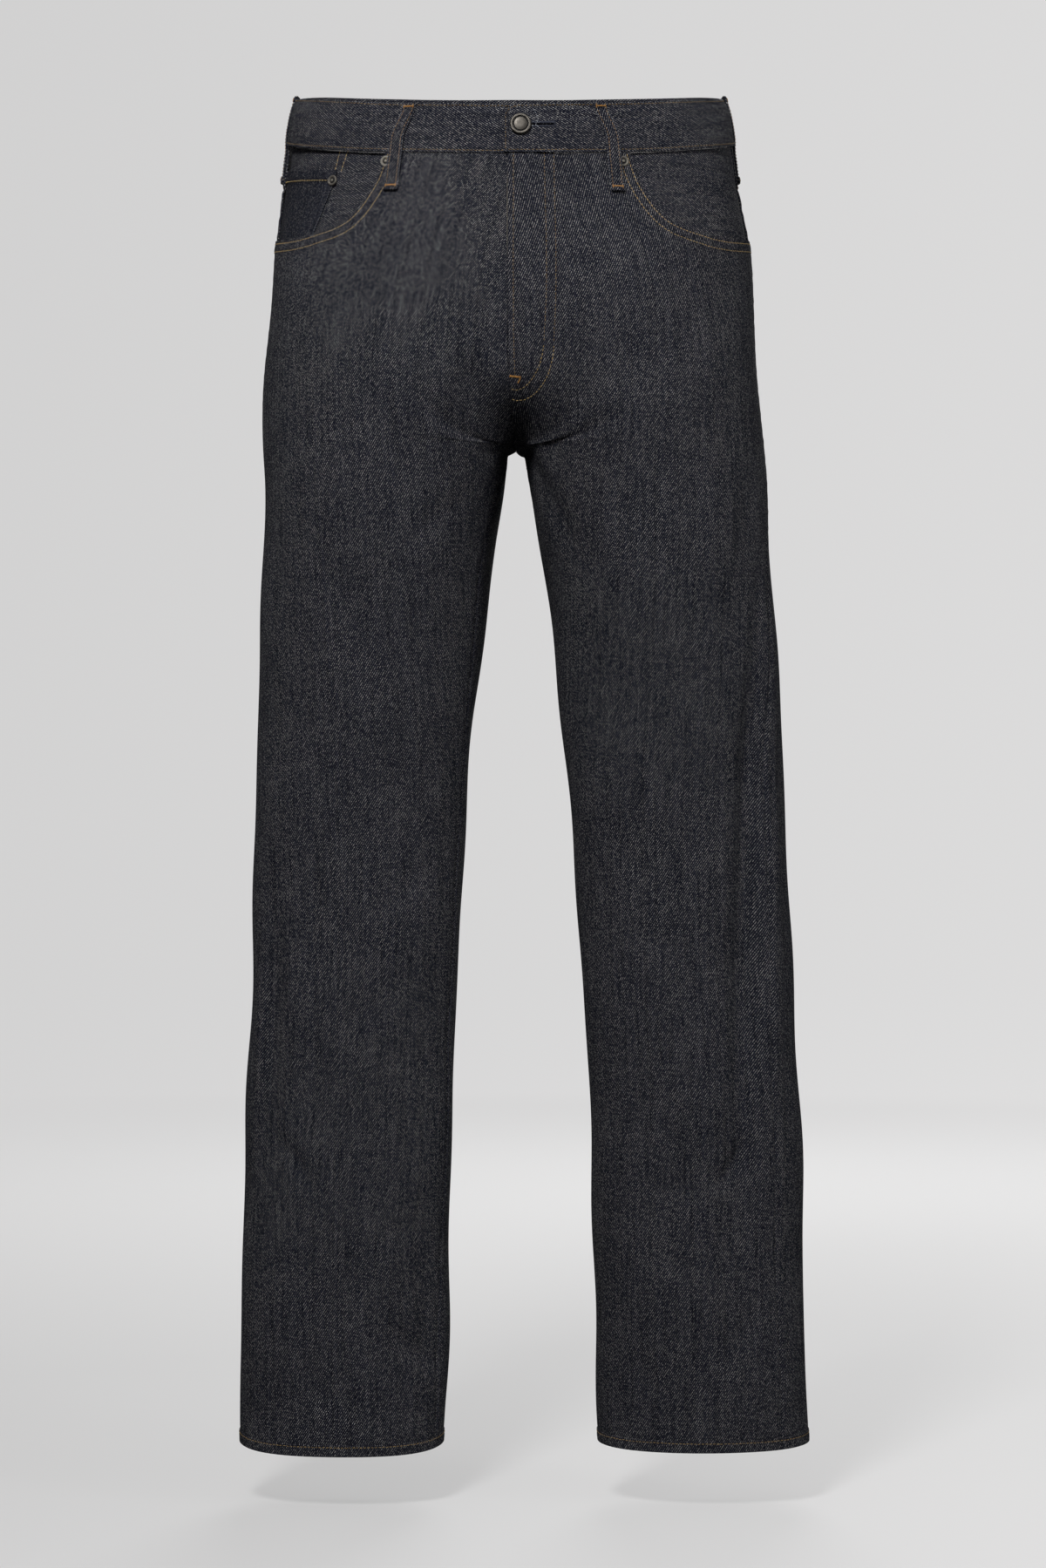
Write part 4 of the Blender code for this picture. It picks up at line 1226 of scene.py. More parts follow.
@dataclass
class Front(Panel):
    """A front panel, cut away at the pocket mouth; the left one laps over the right at the fly.

    The fly's curves are tenths of a millimetre: round from the centre seam, and height.
    """

    holds: ClassVar[bool] = True
    columns: int = 92
    fly_rise: float = 0.0015
    fly_width: float = 0.036
    fly_end_z: float = -0.212
    curl_z: float = -0.188
    curve_inner: tuple = ((287, -330), (287, -1770), (272, -1940), (208, -2115), (112, -2217),
                          (34, -2240), (8, -2234))
    curve_outer: tuple = ((363, -330), (363, -1780), (346, -1990), (272, -2180), (152, -2295),
                          (56, -2315), (8, -2308))
    mouth_insets: tuple[float, float] = (0.0028, 0.0093)
    edge_row: float = 0.0045
    tacks: tuple = (((0.0004, -0.2138), (0.0088, -0.2146), 0.0022),
                    ((0.0088, -0.215), (0.0064, -0.2188), 0.0011))

    @cached_property
    def mouth_cut(self) -> Array:
        """The mouth as metres round and heights."""
        line = self.pattern.mouth_line(self.side, 60)
        return line * np.stack([self.length(line[:, 1]), np.ones(60)], axis=1)

    @cached_property
    def curves(self) -> list[Array]:
        """The two rows of the fly's curved stitching, as metres round and heights."""
        return [curve_points(np.array(knots) / TENTHS, 90)
                for knots in (self.curve_inner, self.curve_outer)]

    def lift(self, share: Array, z: Array, length: Array) -> Array:
        """Fly, seams, the mouth's turned edge and the pull of the rows of stitches."""
        pattern, seed = self.pattern, self.seed
        crotch = self.form.crotch_z
        across = share * length
        rise = (seam_relief((self.outseam(z) - share) * length, z, 1.0 + seed)
                * ease((pattern.mouth_end_z - z) / 0.012))
        rise += (seam_relief((share - self.inseam(z)) * length, z, 4.0 + seed)
                 * ease((crotch - z) / 0.025))
        drop = self.foot(share) - z
        rise += (0.0005 * wobble(across / 0.017, 5.0 + seed) * bell((drop - 0.006) / 0.014)
                 - 0.0004 * bell(drop / 0.0025))
        near = off_line(across, z, self.mouth_cut)
        pull = wobble((across - z) / 0.0085, 7.0 + seed)
        rise += (0.0007 * (1 - ease((near - 0.008) / 0.004)) * ease((near + 0.001) / 0.002)
                 + 0.00022 * pull * bell((near - 0.006) / 0.004))
        for inset in self.mouth_insets:
            rise -= 0.00035 * bell((near - inset) / 0.001)
        fly = ease((z - self.fly_end_z) / 0.02)
        rise += seam_relief(across, z, 9.0) * (1 - fly) * ease((z - crotch) / 0.012)
        if self.side is R:
            return rise - 0.0011 * bell(across / 0.012) * fly
        rise += self.fly_rise * (1 - ease((across - 0.012) / self.fly_width)) * fly
        rise -= 0.0004 * bell((across - self.edge_row) / 0.0011) * fly
        for curve in self.curves:
            rise -= 0.00045 * bell(off_line(across, z, curve[::2]) / 0.0014)
        return rise + 0.00025 * wobble(z / 0.013, 3.0) * bell((across - 0.034) / 0.008) * fly

    def grid(self) -> Pair:
        """Rows run from the rise to the mouth, then to the side seam, then across the leg."""
        pattern, crotch = self.pattern, self.form.crotch_z
        rows, more = pattern.mouth_rows, pattern.fork_rows
        mouth = pattern.mouth_line(self.side, rows)
        leg = pattern.leg_heights()
        low = np.concatenate([[crotch], leg])
        top = float(self.foot(0.0))
        rise = pattern.fork_heights(self.side, 0.0, top, rows + more)
        side_z = np.linspace(pattern.mouth_end_z, crotch, more + 1)[1:]
        outer_z = np.concatenate([mouth[:, 1], side_z, leg])
        side_share = self.outseam(outer_z) - self.edge(outer_z)
        inner_share = np.concatenate([np.zeros(len(rise) - 1), self.inseam(low) + self.edge(low)])
        share, z = self.between(
            (inner_share, np.concatenate([rise, leg])),
            (np.concatenate([mouth[:, 0], side_share[rows:]]), outer_z))
        fade = np.clip(1 - np.arange(len(z)) / (rows - 1), 0, 1)[:, None]
        return share, z + (self.foot(share[0]) - z[0])[None, :] * fade

    def sew(self, gold: Sewing, tan: Sewing, orange: Sewing, pale: Sewing) -> None:
        """Rows along the mouth, worn seams; on the left also the fly's rows and its bar tacks."""
        z = np.linspace(self.form.crotch_z - 0.02, self.form.hem_z + 0.015, 260)
        for share, inward in ((self.inseam(z), 0.0007), (self.outseam(z), -0.0007)):
            share = share + inward / self.length(z)
            pale.row(self.on(share, z, -0.0002), slack=0.0003, kept=0.4)
        for inset in self.mouth_insets:
            line = beside_line(self.mouth_cut, -inset)
            gold.row(self.on_cut(line[line[:, 1] < self.mouth_cut[0, 1] - 0.0005]))
        if self.side is R:
            return
        for curve in self.curves:
            upper = curve[:, 1] > self.curl_z
            tan.row(self.on_cut(curve[upper]), slack=0.00008)
            gold.row(self.on_cut(curve[~upper]), slack=0.00008)
        z = np.linspace(-0.033, self.fly_end_z - 0.003, 60)
        tan.row(self.on_cut(np.stack(together(self.edge_row, z), axis=1)))
        for start, end, height in self.tacks:
            orange.bar(self.on_cut(np.linspace(start, end, 9)), height)

@dataclass
class Back(Panel):
    """A back panel, from the side seam to the centre back and from the yoke to the hem."""

    holds: ClassVar[bool] = True
    columns: int = 92
    rows: int = 112

    def lift(self, share: Array, z: Array, length: Array) -> Array:
        """Seams at the side, the inside of the leg, the seat and the yoke."""
        crotch, seed = self.form.crotch_z, self.seed
        rise = seam_relief((share - self.outseam(z)) * length, z, 1.0 + seed)
        rise += (seam_relief((1 + self.inseam(z) - share) * length, z, 4.0 + seed)
                 * ease((crotch - z) / 0.025))
        rise += seam_relief((1 - share) * length, z, 9.0) * ease((z - crotch) / 0.012)
        to_yoke = self.pattern.yoke_line(self.side, share) - z
        return rise + seam_relief(to_yoke, share * length, 11.0)

    def grid(self) -> Pair:
        """Rows run from the side seam to the seat seam, then across the leg."""
        pattern, crotch = self.pattern, self.form.crotch_z
        leg = pattern.leg_heights()
        low = np.concatenate([[crotch], leg])
        ends = [float(pattern.yoke_line(self.side, share)) - pattern.seam_gap / 2
                for share in (pattern.side_share, 1.0)]
        outer_z = np.concatenate([np.linspace(ends[0], crotch, self.rows), leg])
        rise = pattern.fork_heights(self.side, 1.0, ends[1], self.rows)
        inner = 1 + self.inseam(low) - self.edge(low)
        return self.between((self.outseam(outer_z) + self.edge(outer_z), outer_z),
                            (np.concatenate([np.ones(self.rows - 1), inner]),
                             np.concatenate([rise, leg])))

    def sew(self, tan: Sewing, navy: Sewing) -> None:
        """Two rows beside the seat seam on the left half, and a dark row beside the inseam."""
        pattern, form, side = self.pattern, self.form, self.side
        if side is L:
            top = float(pattern.yoke_line(side, 1.0)) - 0.001
            z = pattern.fork_heights(side, 1.0, top, 120)[:-6]
            for distance in SEAM_ROWS:
                tan.row(self.on(1 - distance / self.length(z), z))
        z = np.linspace(form.crotch_z - 0.012, form.hem_z + pattern.hem_height, 300)
        navy.row(self.on(1 + self.inseam(z) - SEAM_ROWS[0] / self.length(z), z))


@dataclass
class Yoke(Panel):
    """A back yoke, between the waistband and the yoke seam."""

    holds: ClassVar[bool] = True
    columns: int = 110
    rows: int = 34

    def lift(self, share: Array, z: Array, length: Array) -> Array:
        """Seams at its three sewn edges, and puckers under the band."""
        pattern, seed = self.pattern, self.seed
        rise = seam_relief((share - pattern.side_share) * length, z, 1.0 + seed)
        rise += seam_relief((1 - share) * length, z, 9.0)
        rise += seam_relief(z - pattern.yoke_line(self.side, share), share * length, 11.0)
        drop = self.foot(share) - z
        return rise + (0.0004 * wobble(share * length / 0.017, 5.0 + seed)
                       * bell((drop - 0.006) / 0.012) - 0.0003 * bell(drop / 0.0025))

    def grid(self) -> Pair:
        """An even grid between the band's foot and the yoke seam."""
        pattern, side = self.pattern, self.side
        edge = pattern.seam_gap / 2 / pattern.waist.girth(side)
        share = pattern.side_share + edge + (0.5 - edge) * crowded(self.columns)[None, :]
        down = crowded(self.rows)[:, None]
        foot = pattern.yoke_line(side, share) + pattern.seam_gap / 2
        return self.hung(share, down, foot)

    def sew(self, tan: Sewing) -> None:
        """Two rows above the yoke seam."""
        share = np.linspace(self.pattern.side_share + 0.003, 0.998, 160)
        for distance in SEAM_ROWS:
            tan.row(self.on(share, self.pattern.yoke_line(self.side, share) + distance))


@dataclass
class Hem(Panel):
    """The turned-up hem of a leg: a folded ring, twisted a little as its cloth was turned."""

    columns: int = 320
    rows: int = 12
    flare: float = 0.0006
    row_up: float = 0.8
    ring: ClassVar[bool] = True

    def lift(self, share: Array, z: Array, length: Array) -> Array:
        """Leaning puckers between the fold and the row of stitches."""
        up = (z - self.form.hem_z) / self.pattern.hem_height
        around = share * length / 0.0095
        rope = wobble(np.round(around.max()) * share + 0.5 * up, 3.0 + self.side.value)
        return (self.flare + 0.0003 * rope * np.sin(math.pi * np.clip(up, 0, 1))
                - 0.0003 * bell((up - self.row_up) / 0.12))

    def grid(self) -> Pair:
        """A ring from the stitching down to the fold."""
        share = np.linspace(0, 1, self.columns, endpoint=False)[None, :]
        z = self.form.hem_z + self.pattern.hem_height * (1 - crowded(self.rows, 0.7))[:, None]
        return together(share, z)

    def cloth_cut(self, share: Array, z: Array, length: Array) -> Array:
        """The place on the cut, from the inseam."""
        return np.stack([self.side.value * share * length, z], axis=-1)

    def sew(self, tan: Sewing) -> None:
        """One row round the hem's top."""
        share = np.linspace(0, 1, 400)
        tan.row(self.on(share, self.form.hem_z + self.row_up * self.pattern.hem_height))


@dataclass
class Facing(Panel):
    """The cloth that shows behind a pocket mouth, cut across the grain."""

    start: float = 0.082
    foot_z: float = -0.126
    depth: float = -0.0022
    columns: int = 46
    rows: int = 40
    coin_rows: tuple = (((0.1334, -0.0235), (0.1392, -0.045)),
                        ((0.1262, -0.0235), (0.1345, -0.047)))

    def lift(self, share: Array, z: Array, length: Array) -> Array:
        """Behind the panel, with a slow swell."""
        return self.depth + 0.00025 * wobble(share * length / 0.045 + z / 0.06, self.side.value)

    def grid(self) -> Pair:
        """A grid from the waistband down, as far as the side seam."""
        pattern, side = self.pattern, self.side
        first = self.form.share_across(side, self.start, -0.06)
        last = pattern.side_share - pattern.seam_gap / 2 / pattern.waist.girth(side)
        share = np.linspace(first, last, self.columns)[None, :]
        down = np.linspace(0, 1, self.rows)[:, None]
        return self.hung(share, down, self.foot_z)

    def cloth_cut(self, share: Array, z: Array, length: Array) -> Array:
        """The place on the cut, turned a quarter."""
        return np.stack([z, -self.side.value * share * length], axis=-1)

    def sew(self, gold: Sewing) -> None:
        """On the wearer's right, two rows from the band down to the coin pocket's corner."""
        if self.side is R:
            for ends in self.coin_rows:
                top, foot = ((self.form.share_across(R, *point), point[1]) for point in ends)
                gold.row(self.on(*np.linspace(top, foot, 20).T))


@dataclass
class CoinPocket(Panel):
    """The small pocket on the wearer's right, with its top edge turned under."""

    inner: tuple = ((0.1362, -0.0455), (0.165, -0.122))
    side_z: float = -0.036
    depth: float = -0.0022
    columns: int = 50
    rows: int = 56
    margin: float = 0.0085

    @cached_property
    def corners(self) -> tuple[float, float]:
        """Shares of the inner edge's top and foot."""
        return tuple(self.form.share_across(self.side, *point) for point in self.inner)

    def edge_share(self, z: Values) -> Array:
        """Share of the inner edge at a height."""
        way = (self.inner[0][1] - np.asarray(z)) / (self.inner[0][1] - self.inner[1][1])
        return self.corners[0] + (self.corners[1] - self.corners[0]) * way

    def top_z(self, share: Values) -> Array:
        """Height of the top edge."""
        way = (np.asarray(share) - self.corners[0]) / (self.pattern.side_share - self.corners[0])
        return self.inner[0][1] + (self.side_z - self.inner[0][1]) * way

    def lift(self, share: Array, z: Array, length: Array) -> Array:
        """The folded top is proud of the rest, and the row of stitches sinks it."""
        under = self.top_z(share) - z
        fold = 0.001 * (1 - ease((under - self.margin) / 0.002))
        pull = -0.0003 * bell((under - self.margin) / 0.0012)
        return self.depth + fold + pull + 0.0002 * wobble(share * length / 0.012, 1.0) * bell(
            (under - 0.005) / 0.006)

    def grid(self) -> Pair:
        """A grid from the top edge down."""
        down = crowded(self.rows)[:, None]
        way = crowded(self.columns)[None, :]
        first = self.corners[0] * (1 - down) + self.corners[1] * down
        share = first + (self.pattern.side_share - 0.001 - first) * way
        upper = self.inner[0][1] + (self.side_z - self.inner[0][1]) * way
        return share, upper * (1 - down) + self.inner[1][1] * down

    def sew(self, tan: Sewing, navy: Sewing, pale: Sewing) -> None:
        """A row under the top edge, a dark row down the inner edge, and that edge's worn fold."""
        share = np.linspace(self.corners[0] + 0.006, self.pattern.side_share - 0.006, 60)
        tan.row(self.on(share, self.top_z(share) - self.margin))
        z = np.linspace(self.inner[0][1] - 0.002, self.inner[1][1] + 0.01, 60)
        length = self.length(z)
        navy.row(self.on(self.edge_share(z) + 0.006 / length, z))
        pale.row(self.on(self.edge_share(z) + 0.0004 / length, z, -0.0001))


@dataclass
class BackPocket(Panel):
    """A plain patch pocket with a shallow point at its foot."""

    width: float = 0.15
    foot_width: float = 0.134
    height: float = 0.132
    point: float = 0.018
    centre: float = 0.108
    top_z: float = -0.095
    slope: float = 0.07
    proud: float = 0.0009
    hem: float = 0.014
    edge_rows: tuple[float, float] = (0.002, 0.0084)
    columns: int = 76
    rows: int = 72

    def place(self, across: Array, down: Array) -> Pair:
        """Share and height at a way across (-0.5 to 0.5) and down (0 to 1)."""
        width = self.width + (self.foot_width - self.width) * down
        top = self.top_z + self.slope * self.width * across
        foot = top - self.height - self.point * (1 - 2 * np.abs(across))
        z = top + (foot - top) * down
        return 1 - (self.centre + across * width) / self.length(z), z

    def relief(self, across: Array, down: Array) -> Array:
        """The outer face's distance from the form: turned edges, hem, and the pull of the rows."""
        edge = np.minimum((0.5 - np.abs(across)) * self.foot_width,
                          (1 - down) * self.height + 0.0005)
        under = down * self.height
        rise = 0.0006 * (1 - ease((edge - 0.009) / 0.003))
        rise += 0.0006 * (1 - ease((under - self.hem) / 0.002))
        for inset in self.edge_rows:
            rise -= 0.0003 * bell((edge - inset) / 0.001)
        rise += 0.0008 * np.sin(math.pi * np.clip(down, 0, 1)) * (1 - 4 * across * across)
        pucker = wobble((across * self.width + down * self.height) / 0.01, self.side.value)
        return (self.proud + self.weave.thickness + rise
                + 0.0002 * pucker * bell((edge - 0.005) / 0.005))

    def on_patch(self, across: Array, down: Array) -> Pair:
        """Points and normals on the pocket."""
        across, down = together(across, down)
        share, z = self.place(across, down)
        under = Back(self.pattern, self.side, self.weave)
        lift = under.lift(share, z, self.length(z)) * 0.5
        return self.form.skin(self.side, share, z, self.relief(across, down) + lift)

    def build(self, node: str) -> Piece:
        """The pocket, in place of its solid."""
        across, down = together((crowded(self.columns) - 0.5)[None, :],
                                crowded(self.rows)[:, None])
        cut = np.stack([-self.side.value * across * self.width, -down * self.height], axis=-1)
        return Sheet(*self.on_patch(across, down), cut).piece(node, self.weave, self.slot)

    def sew(self, tan: Sewing, orange: Sewing) -> None:
        """Two rows round the sides and the foot, two across the hem, and corner bar tacks."""
        for inset, start in zip(self.edge_rows, (0.012, self.hem / self.height)):
            half = 0.5 - inset / self.foot_width
            down = 1 - inset / self.height
            knots = np.array([(-half, start), (-half, down), (0.0, down), (half, down),
                              (half, start)])
            line = np.concatenate([np.linspace(a, b, 40)[:-1] for a, b in zip(knots, knots[1:])]
                                  + [knots[-1:]])
            tan.row(self.on_patch(*line.T))
        across = np.linspace(-0.485, 0.485, 80)
        for under in (0.0022, self.hem - 0.0018):
            tan.row(self.on_patch(across, under / self.height))
        for sign in (-1, 1):
            line = np.linspace((sign * 0.488, 0.012), (sign * 0.425, 0.012), 8)
            orange.bar(self.on_patch(*line.T), 0.0022)


@dataclass
class Waistband:
    """The waistband: one strip, lapped at the front, with a keyhole buttonhole in the upper lap."""

    pattern: Pattern
    weave: Weave
    wall: float = 0.0024
    lap: float = 0.035
    lap_start: float = -0.003
    lap_lift: float = 0.0015
    corner: float = 0.011
    button_across: float = 0.01
    button_z: float = -0.0151
    eye: float = 0.0031
    slit: float = 0.0012
    hole_end: float = 0.037
    hole_stitches: int = 118
    end_inset: float = 0.0014
    loose_end: tuple = ((0.0215, 0.0), (0.0235, 0.0035), (0.0222, 0.0085), (0.0196, 0.0125))
    columns: int = 400
    corner_columns: int = 14
    rows: int = 26

    @property
    def girth(self) -> float:
        """Length of the waist."""
        return self.pattern.waist.girth(L) + self.pattern.waist.girth(R)

    def over(self, distance: Array) -> Array:
        """How far the buttonhole end rises over the button end, which sinks by as much."""
        over = 1 - ease((distance - self.lap - 0.002) / 0.035)
        under = ease((distance - self.girth + 0.045) / 0.035)
        return self.lap_lift * (over - under)

    def lift(self, distance: Array, up: Array) -> Array:
        """The outer face: the laps, grooves on the rows of stitches, and slow puckers."""
        half = self.pattern.waist.half
        rows = bell((up - half + 0.0022) / 0.0012) + bell((up + half - 0.002) / 0.0012)
        edge = half - np.abs(up)
        pucker = wobble(distance / 0.0125, 2.0) * bell((edge - 0.004) / 0.005)
        swell = 0.0003 * (1 - (up / half) ** 2)
        slow = 0.0004 * wobble(distance / 0.095, 6.0) * (up / half)
        return (self.over(distance) + self.wall / 2 - 0.00028 * rows + 0.00018 * pucker
                + swell + slow)

    def on(self, distance: Array, up: Array, extra: float = 0.0) -> Pair:
        """Points and normals on the outer face."""
        distance, up = together(distance, up)
        return self.pattern.waist.ring(distance, up, self.lift(distance, up) + extra)

    def corner_drop(self, distance: Array) -> Array:
        """How far the rounded corner cuts the top edge down."""
        into = np.clip(1 - (distance - self.lap_start) / self.corner, 0, 1)
        return self.corner * (1 - np.sqrt(1 - into * into))

    def build(self) -> Piece:
        """The band, with its buttonhole cut, in place of its solid."""
        rounded = self.lap_start + self.corner * np.linspace(0, 1, self.corner_columns) ** 1.8
        rest = np.linspace(rounded[-1], self.girth + self.lap, self.columns)[1:]
        distance = np.concatenate([rounded, rest])[None, :]
        half, rise = self.pattern.waist.half, (1 - crowded(self.rows, 0.8))[:, None]
        distance, up = together(distance, -half + (2 * half - self.corner_drop(distance)) * rise)
        sheet = Sheet(*self.on(distance, up), np.stack([up, -distance], axis=-1))
        piece = sheet.wall("waistband_cloth", self.weave)
        self.cut_hole(piece)
        sheet.declare()
        return hand_over(piece, "band_denim", "waistband")

    @property
    def hole_up(self) -> float:
        """The buttonhole's height over the band's middle line."""
        share = self.pattern.form.share_across(L, self.button_across, self.button_z)
        return self.button_z - float(self.pattern.waist.middle(L, share))

    def hole_line(self, margin: float, count: int) -> Array:
        """The keyhole's outline at a margin: an arc round the eye, then the slit's two sides."""
        radius, half = self.eye + margin, self.slit / 2 + margin
        open_angle = math.asin(half / radius)
        eye = circle(radius, np.linspace(open_angle, FULL_TURN - open_angle, count))
        end = self.hole_end - self.button_across
        lower = np.linspace((eye[-1, 0], -half), (end, -half), count)[1:]
        upper = np.linspace((end, half), (eye[0, 0], half), count)[:-1]
        return np.concatenate([eye, lower, upper]) + (self.button_across, self.hole_up)

    def cut_hole(self, band: Piece) -> None:
        """Cuts the keyhole through the upper lap with a prism that is then removed."""
        line = self.hole_line(0.0, 20)
        layers = [self.pattern.waist.ring(*line.T, lift)[0] for lift in (0.0002, 0.006)]
        first = np.arange(len(line))[None]
        prism = put_mesh("buttonhole_cutter", np.concatenate(layers),
                         [grid_faces(2, len(line), True), first[:, ::-1], first + len(line)], [])
        cut = band.modifiers.new("buttonhole", "BOOLEAN")
        cut.operation = "DIFFERENCE"
        cut.object = prism
        shown = band.evaluated_get(bpy.context.evaluated_depsgraph_get())
        mesh = bpy.data.meshes.new_from_object(shown)
        band.modifiers.clear()
        band.data = mesh
        bpy.data.objects.remove(prism, do_unlink=True)

    def sew(self, tan: Sewing, navy: Sewing, white: Sewing, pale: Sewing) -> None:
        """Rows along three edges, their worn folds, the buttonhole's stitches and loose ends."""
        half, inset = self.pattern.waist.half, self.end_inset
        start, stop = self.lap_start + inset, self.girth + self.lap
        arc = circle(self.corner - inset, np.linspace(math.pi, math.pi / 2, 16))
        arc += (self.lap_start + self.corner, half - self.corner)
        rise = np.linspace((start, -half + 0.002), arc[0], 16)[:-1]
        top = np.linspace(arc[-1], (stop, half - inset), 700)[1:]
        tan.row(self.on(*np.concatenate([rise, arc, top]).T))
        foot = np.linspace(start + 0.002, stop, 700)
        tan.row(self.on(foot, -half + 0.002))
        pale.row(self.on(foot, -half + 0.0004, -0.0003), slack=0.0002, kept=0.8)
        pale.row(self.on(foot, half - 0.0002, -0.0002), slack=0.0001, kept=0.5)

        edges = (even_run(self.hole_line(margin, 40), self.hole_stitches)
                 for margin in (0.0001, 0.0019))
        inner, outer = (self.on(*edge.T, 0.0001) for edge in edges)
        navy.add(inner[0], outer[0], inner[1])
        rng = np.random.default_rng(5)
        for _ in range(7):
            place = (self.button_across + rng.uniform(0.009, 0.015),
                     self.hole_up + rng.uniform(-0.0022, 0.0022))
            aim = rng.uniform(-0.0022, 0.0022, 2)
            bits = np.linspace(place, np.array(place) + aim, 3)
            white.row(self.on(*bits.T, 0.0005), stitch=0.004, size=0.8)
        loose = curve_points(np.array(self.loose_end) + (0.0, self.hole_up), 12)
        white.row(self.on(*loose.T, 0.0006), stitch=0.0028, size=0.5, slack=0.0)


@dataclass
class BeltLoop:
    """A belt loop: a strip folded under and tacked at the band's top and below the band.

    A profile is its way down in ten-thousandths and its gap to the cloth in tenths of a
    millimetre; hug goes from the open profile at 0 to the close one at 1.
    """

    pattern: Pattern
    side: Side
    name: str
    centre: float
    lean: float
    weave: Weave
    hug: float = 0.0
    width: float = 0.0106
    wall: float = 0.0016
    fold: float = 0.0012
    below_band: float = 0.032
    profile: tuple = ((0, 17), (800, 18), (2800, 35), (5500, 39), (7800, 36), (9100, 9),
                      (10000, 6))
    close_profile: tuple = ((0, 17), (800, 18), (2800, 23), (5000, 21), (6200, 10), (7800, 10),
                            (9100, 8), (10000, 6))
    rows: int = 70
    columns: int = 15

    @property
    def span(self) -> float:
        """The loop's height."""
        return 2 * self.pattern.waist.half + self.below_band

    def place(self, way: Array, across: Array) -> tuple[Array, Array, Array, Array]:
        """Share, height, the inner face's lift and the thickness, at a way down and across."""
        waist = self.pattern.waist
        girth = waist.girth(self.side)
        middle = self.centre - self.lean / girth * ease((0.42 - way) / 0.42)
        share = middle + self.width / girth * across
        up = waist.half - way * self.span
        far, close = (through(way, *(np.array(profile) / TENTHS).T)
                      for profile in (self.profile, self.close_profile))
        lift = far * (1 - self.hug) + close * self.hug - waist.lean(share, up)
        depth = self.wall + self.fold * (1 - ease((way - 0.03) / 0.06) + ease((way - 0.9) / 0.05))
        crown = (0.00022 * np.cos(FULL_TURN * across)
                 - 0.00035 * bell((0.5 - np.abs(across)) / 0.09))
        return share, waist.middle(self.side, middle) + up, lift, depth + crown

    def on(self, way: Array, across: Array, extra: float = 0.0) -> Pair:
        """Points and normals on the outer face."""
        share, z, lift, depth = self.place(*together(way, across))
        return self.pattern.form.skin(self.side, share, z, lift + depth + extra)

    def build(self) -> Piece:
        """The loop, in place of its solid."""
        way, across = together(crowded(self.rows, 0.7)[:, None],
                               (crowded(self.columns, 0.5) - 0.5)[None, :])
        cut = np.stack([self.side.value * across * self.width + self.centre, -way * self.span],
                       axis=-1)
        return Sheet(*self.on(way, across), cut).piece(self.name, self.weave, "denim",
                                                       depth=self.place(way, across)[3])

    def sew(self, cream: Sewing, orange: Sewing, pale: Sewing) -> None:
        """Two rows down the loop, its worn edges, and a bar tack at each end."""
        way = np.linspace(0.01, 0.985, 60)
        for across in (-0.33, 0.33):
            cream.row(self.on(way, across), stitch=0.0026, slack=0.00006)
            pale.row(self.on(way, across * 1.45, -0.0002), slack=0.00006)
        across = np.linspace(-0.36, 0.36, 12)
        for way in (0.045, 0.95):
            orange.bar(self.on(way, across), 0.0012, size=0.75)
            for edge in (-0.36, 0.36):
                ends = np.linspace(way - 0.016, way + 0.016, 5)
                orange.bar(self.on(ends, edge), 0.0009, size=0.7)


@dataclass
class Fly:
    """The closed zip's tape and the shield behind it, under the lapped fronts."""

    pattern: Pattern
    tape: Weave
    denim: Weave
    strips: tuple = (("fly_zip", (-0.011, 0.012), -0.192, -0.0018, "zip"),
                     ("fly_shield", (-0.014, 0.036), -0.2, -0.0034, "denim"))
    columns: int = 24
    rows: int = 60

    def build(self) -> None:
        """Both strips, in place of their solids."""
        waist = self.pattern.waist
        start = -waist.half - waist.gap
        for node, span, foot, lift, slot in self.strips:
            drop = foot - float(waist.middle(L, 0.0)) - start
            distance, up = together(np.linspace(*span, self.columns)[None, :],
                                    start + drop * np.linspace(0, 1, self.rows)[:, None])
            sheet = Sheet(*waist.ring(distance, up, lift), np.stack([distance, up], axis=-1))
            sheet.piece(node, self.tape if slot == "zip" else self.denim, slot)


# Metal

def softened(profile: tuple, radius: float, steps: int = 4) -> Array:
    """A profile whose corners are small curves, each a parabola between two cut-back points."""
    points = np.array(profile) / TENTHS
    result = [points[:1]]
    for before, corner, after in zip(points, points[1:], points[2:]):
        ends = []
        for other in (before, after):
            run = other - corner
            ends.append(corner + run * min(radius / np.linalg.norm(run), 0.45))
        t = np.linspace(0, 1, steps)[:, None]
        result.append((1 - t) ** 2 * ends[0] + 2 * t * (1 - t) * corner + t * t * ends[1])
    return np.concatenate(result + [points[-1:]])


@dataclass
class Turned:
    """A metal piece turned about the normal of the front, from a profile of (radius, height)."""

    form: Form
    name: str
    side: Side
    across: float
    z: float
    lift: float
    profile: tuple
    material: Material
    steps: int = 56
    soft: float = 0.00018

    def build(self) -> Piece:
        """The piece, in place of its solid."""
        profile = softened(self.profile, self.soft)
        turn = np.arange(self.steps) * FULL_TURN / self.steps
        height = np.broadcast_to(profile[:, None, 1:], (len(profile), self.steps, 1))
        points = np.concatenate([circle(profile[:, :1], turn), height], axis=-1)
        share = self.form.share_across(self.side, self.across, self.z)
        place, normal = self.form.skin(self.side, share, self.z, self.lift)
        turned = np.array(Vector(normal).to_track_quat("Z", "Y").to_matrix())
        points = points.reshape(-1, 3) @ turned.T + place
        cut = np.repeat(profile, self.steps, axis=0)
        faces = [grid_faces(len(profile), self.steps, True)]
        piece = put_mesh(self.name + "_metal", points, faces, [self.material], cut=cut, sharp=60.0,
                         merge=2e-6)
        return hand_over(piece, "nickel", self.name)


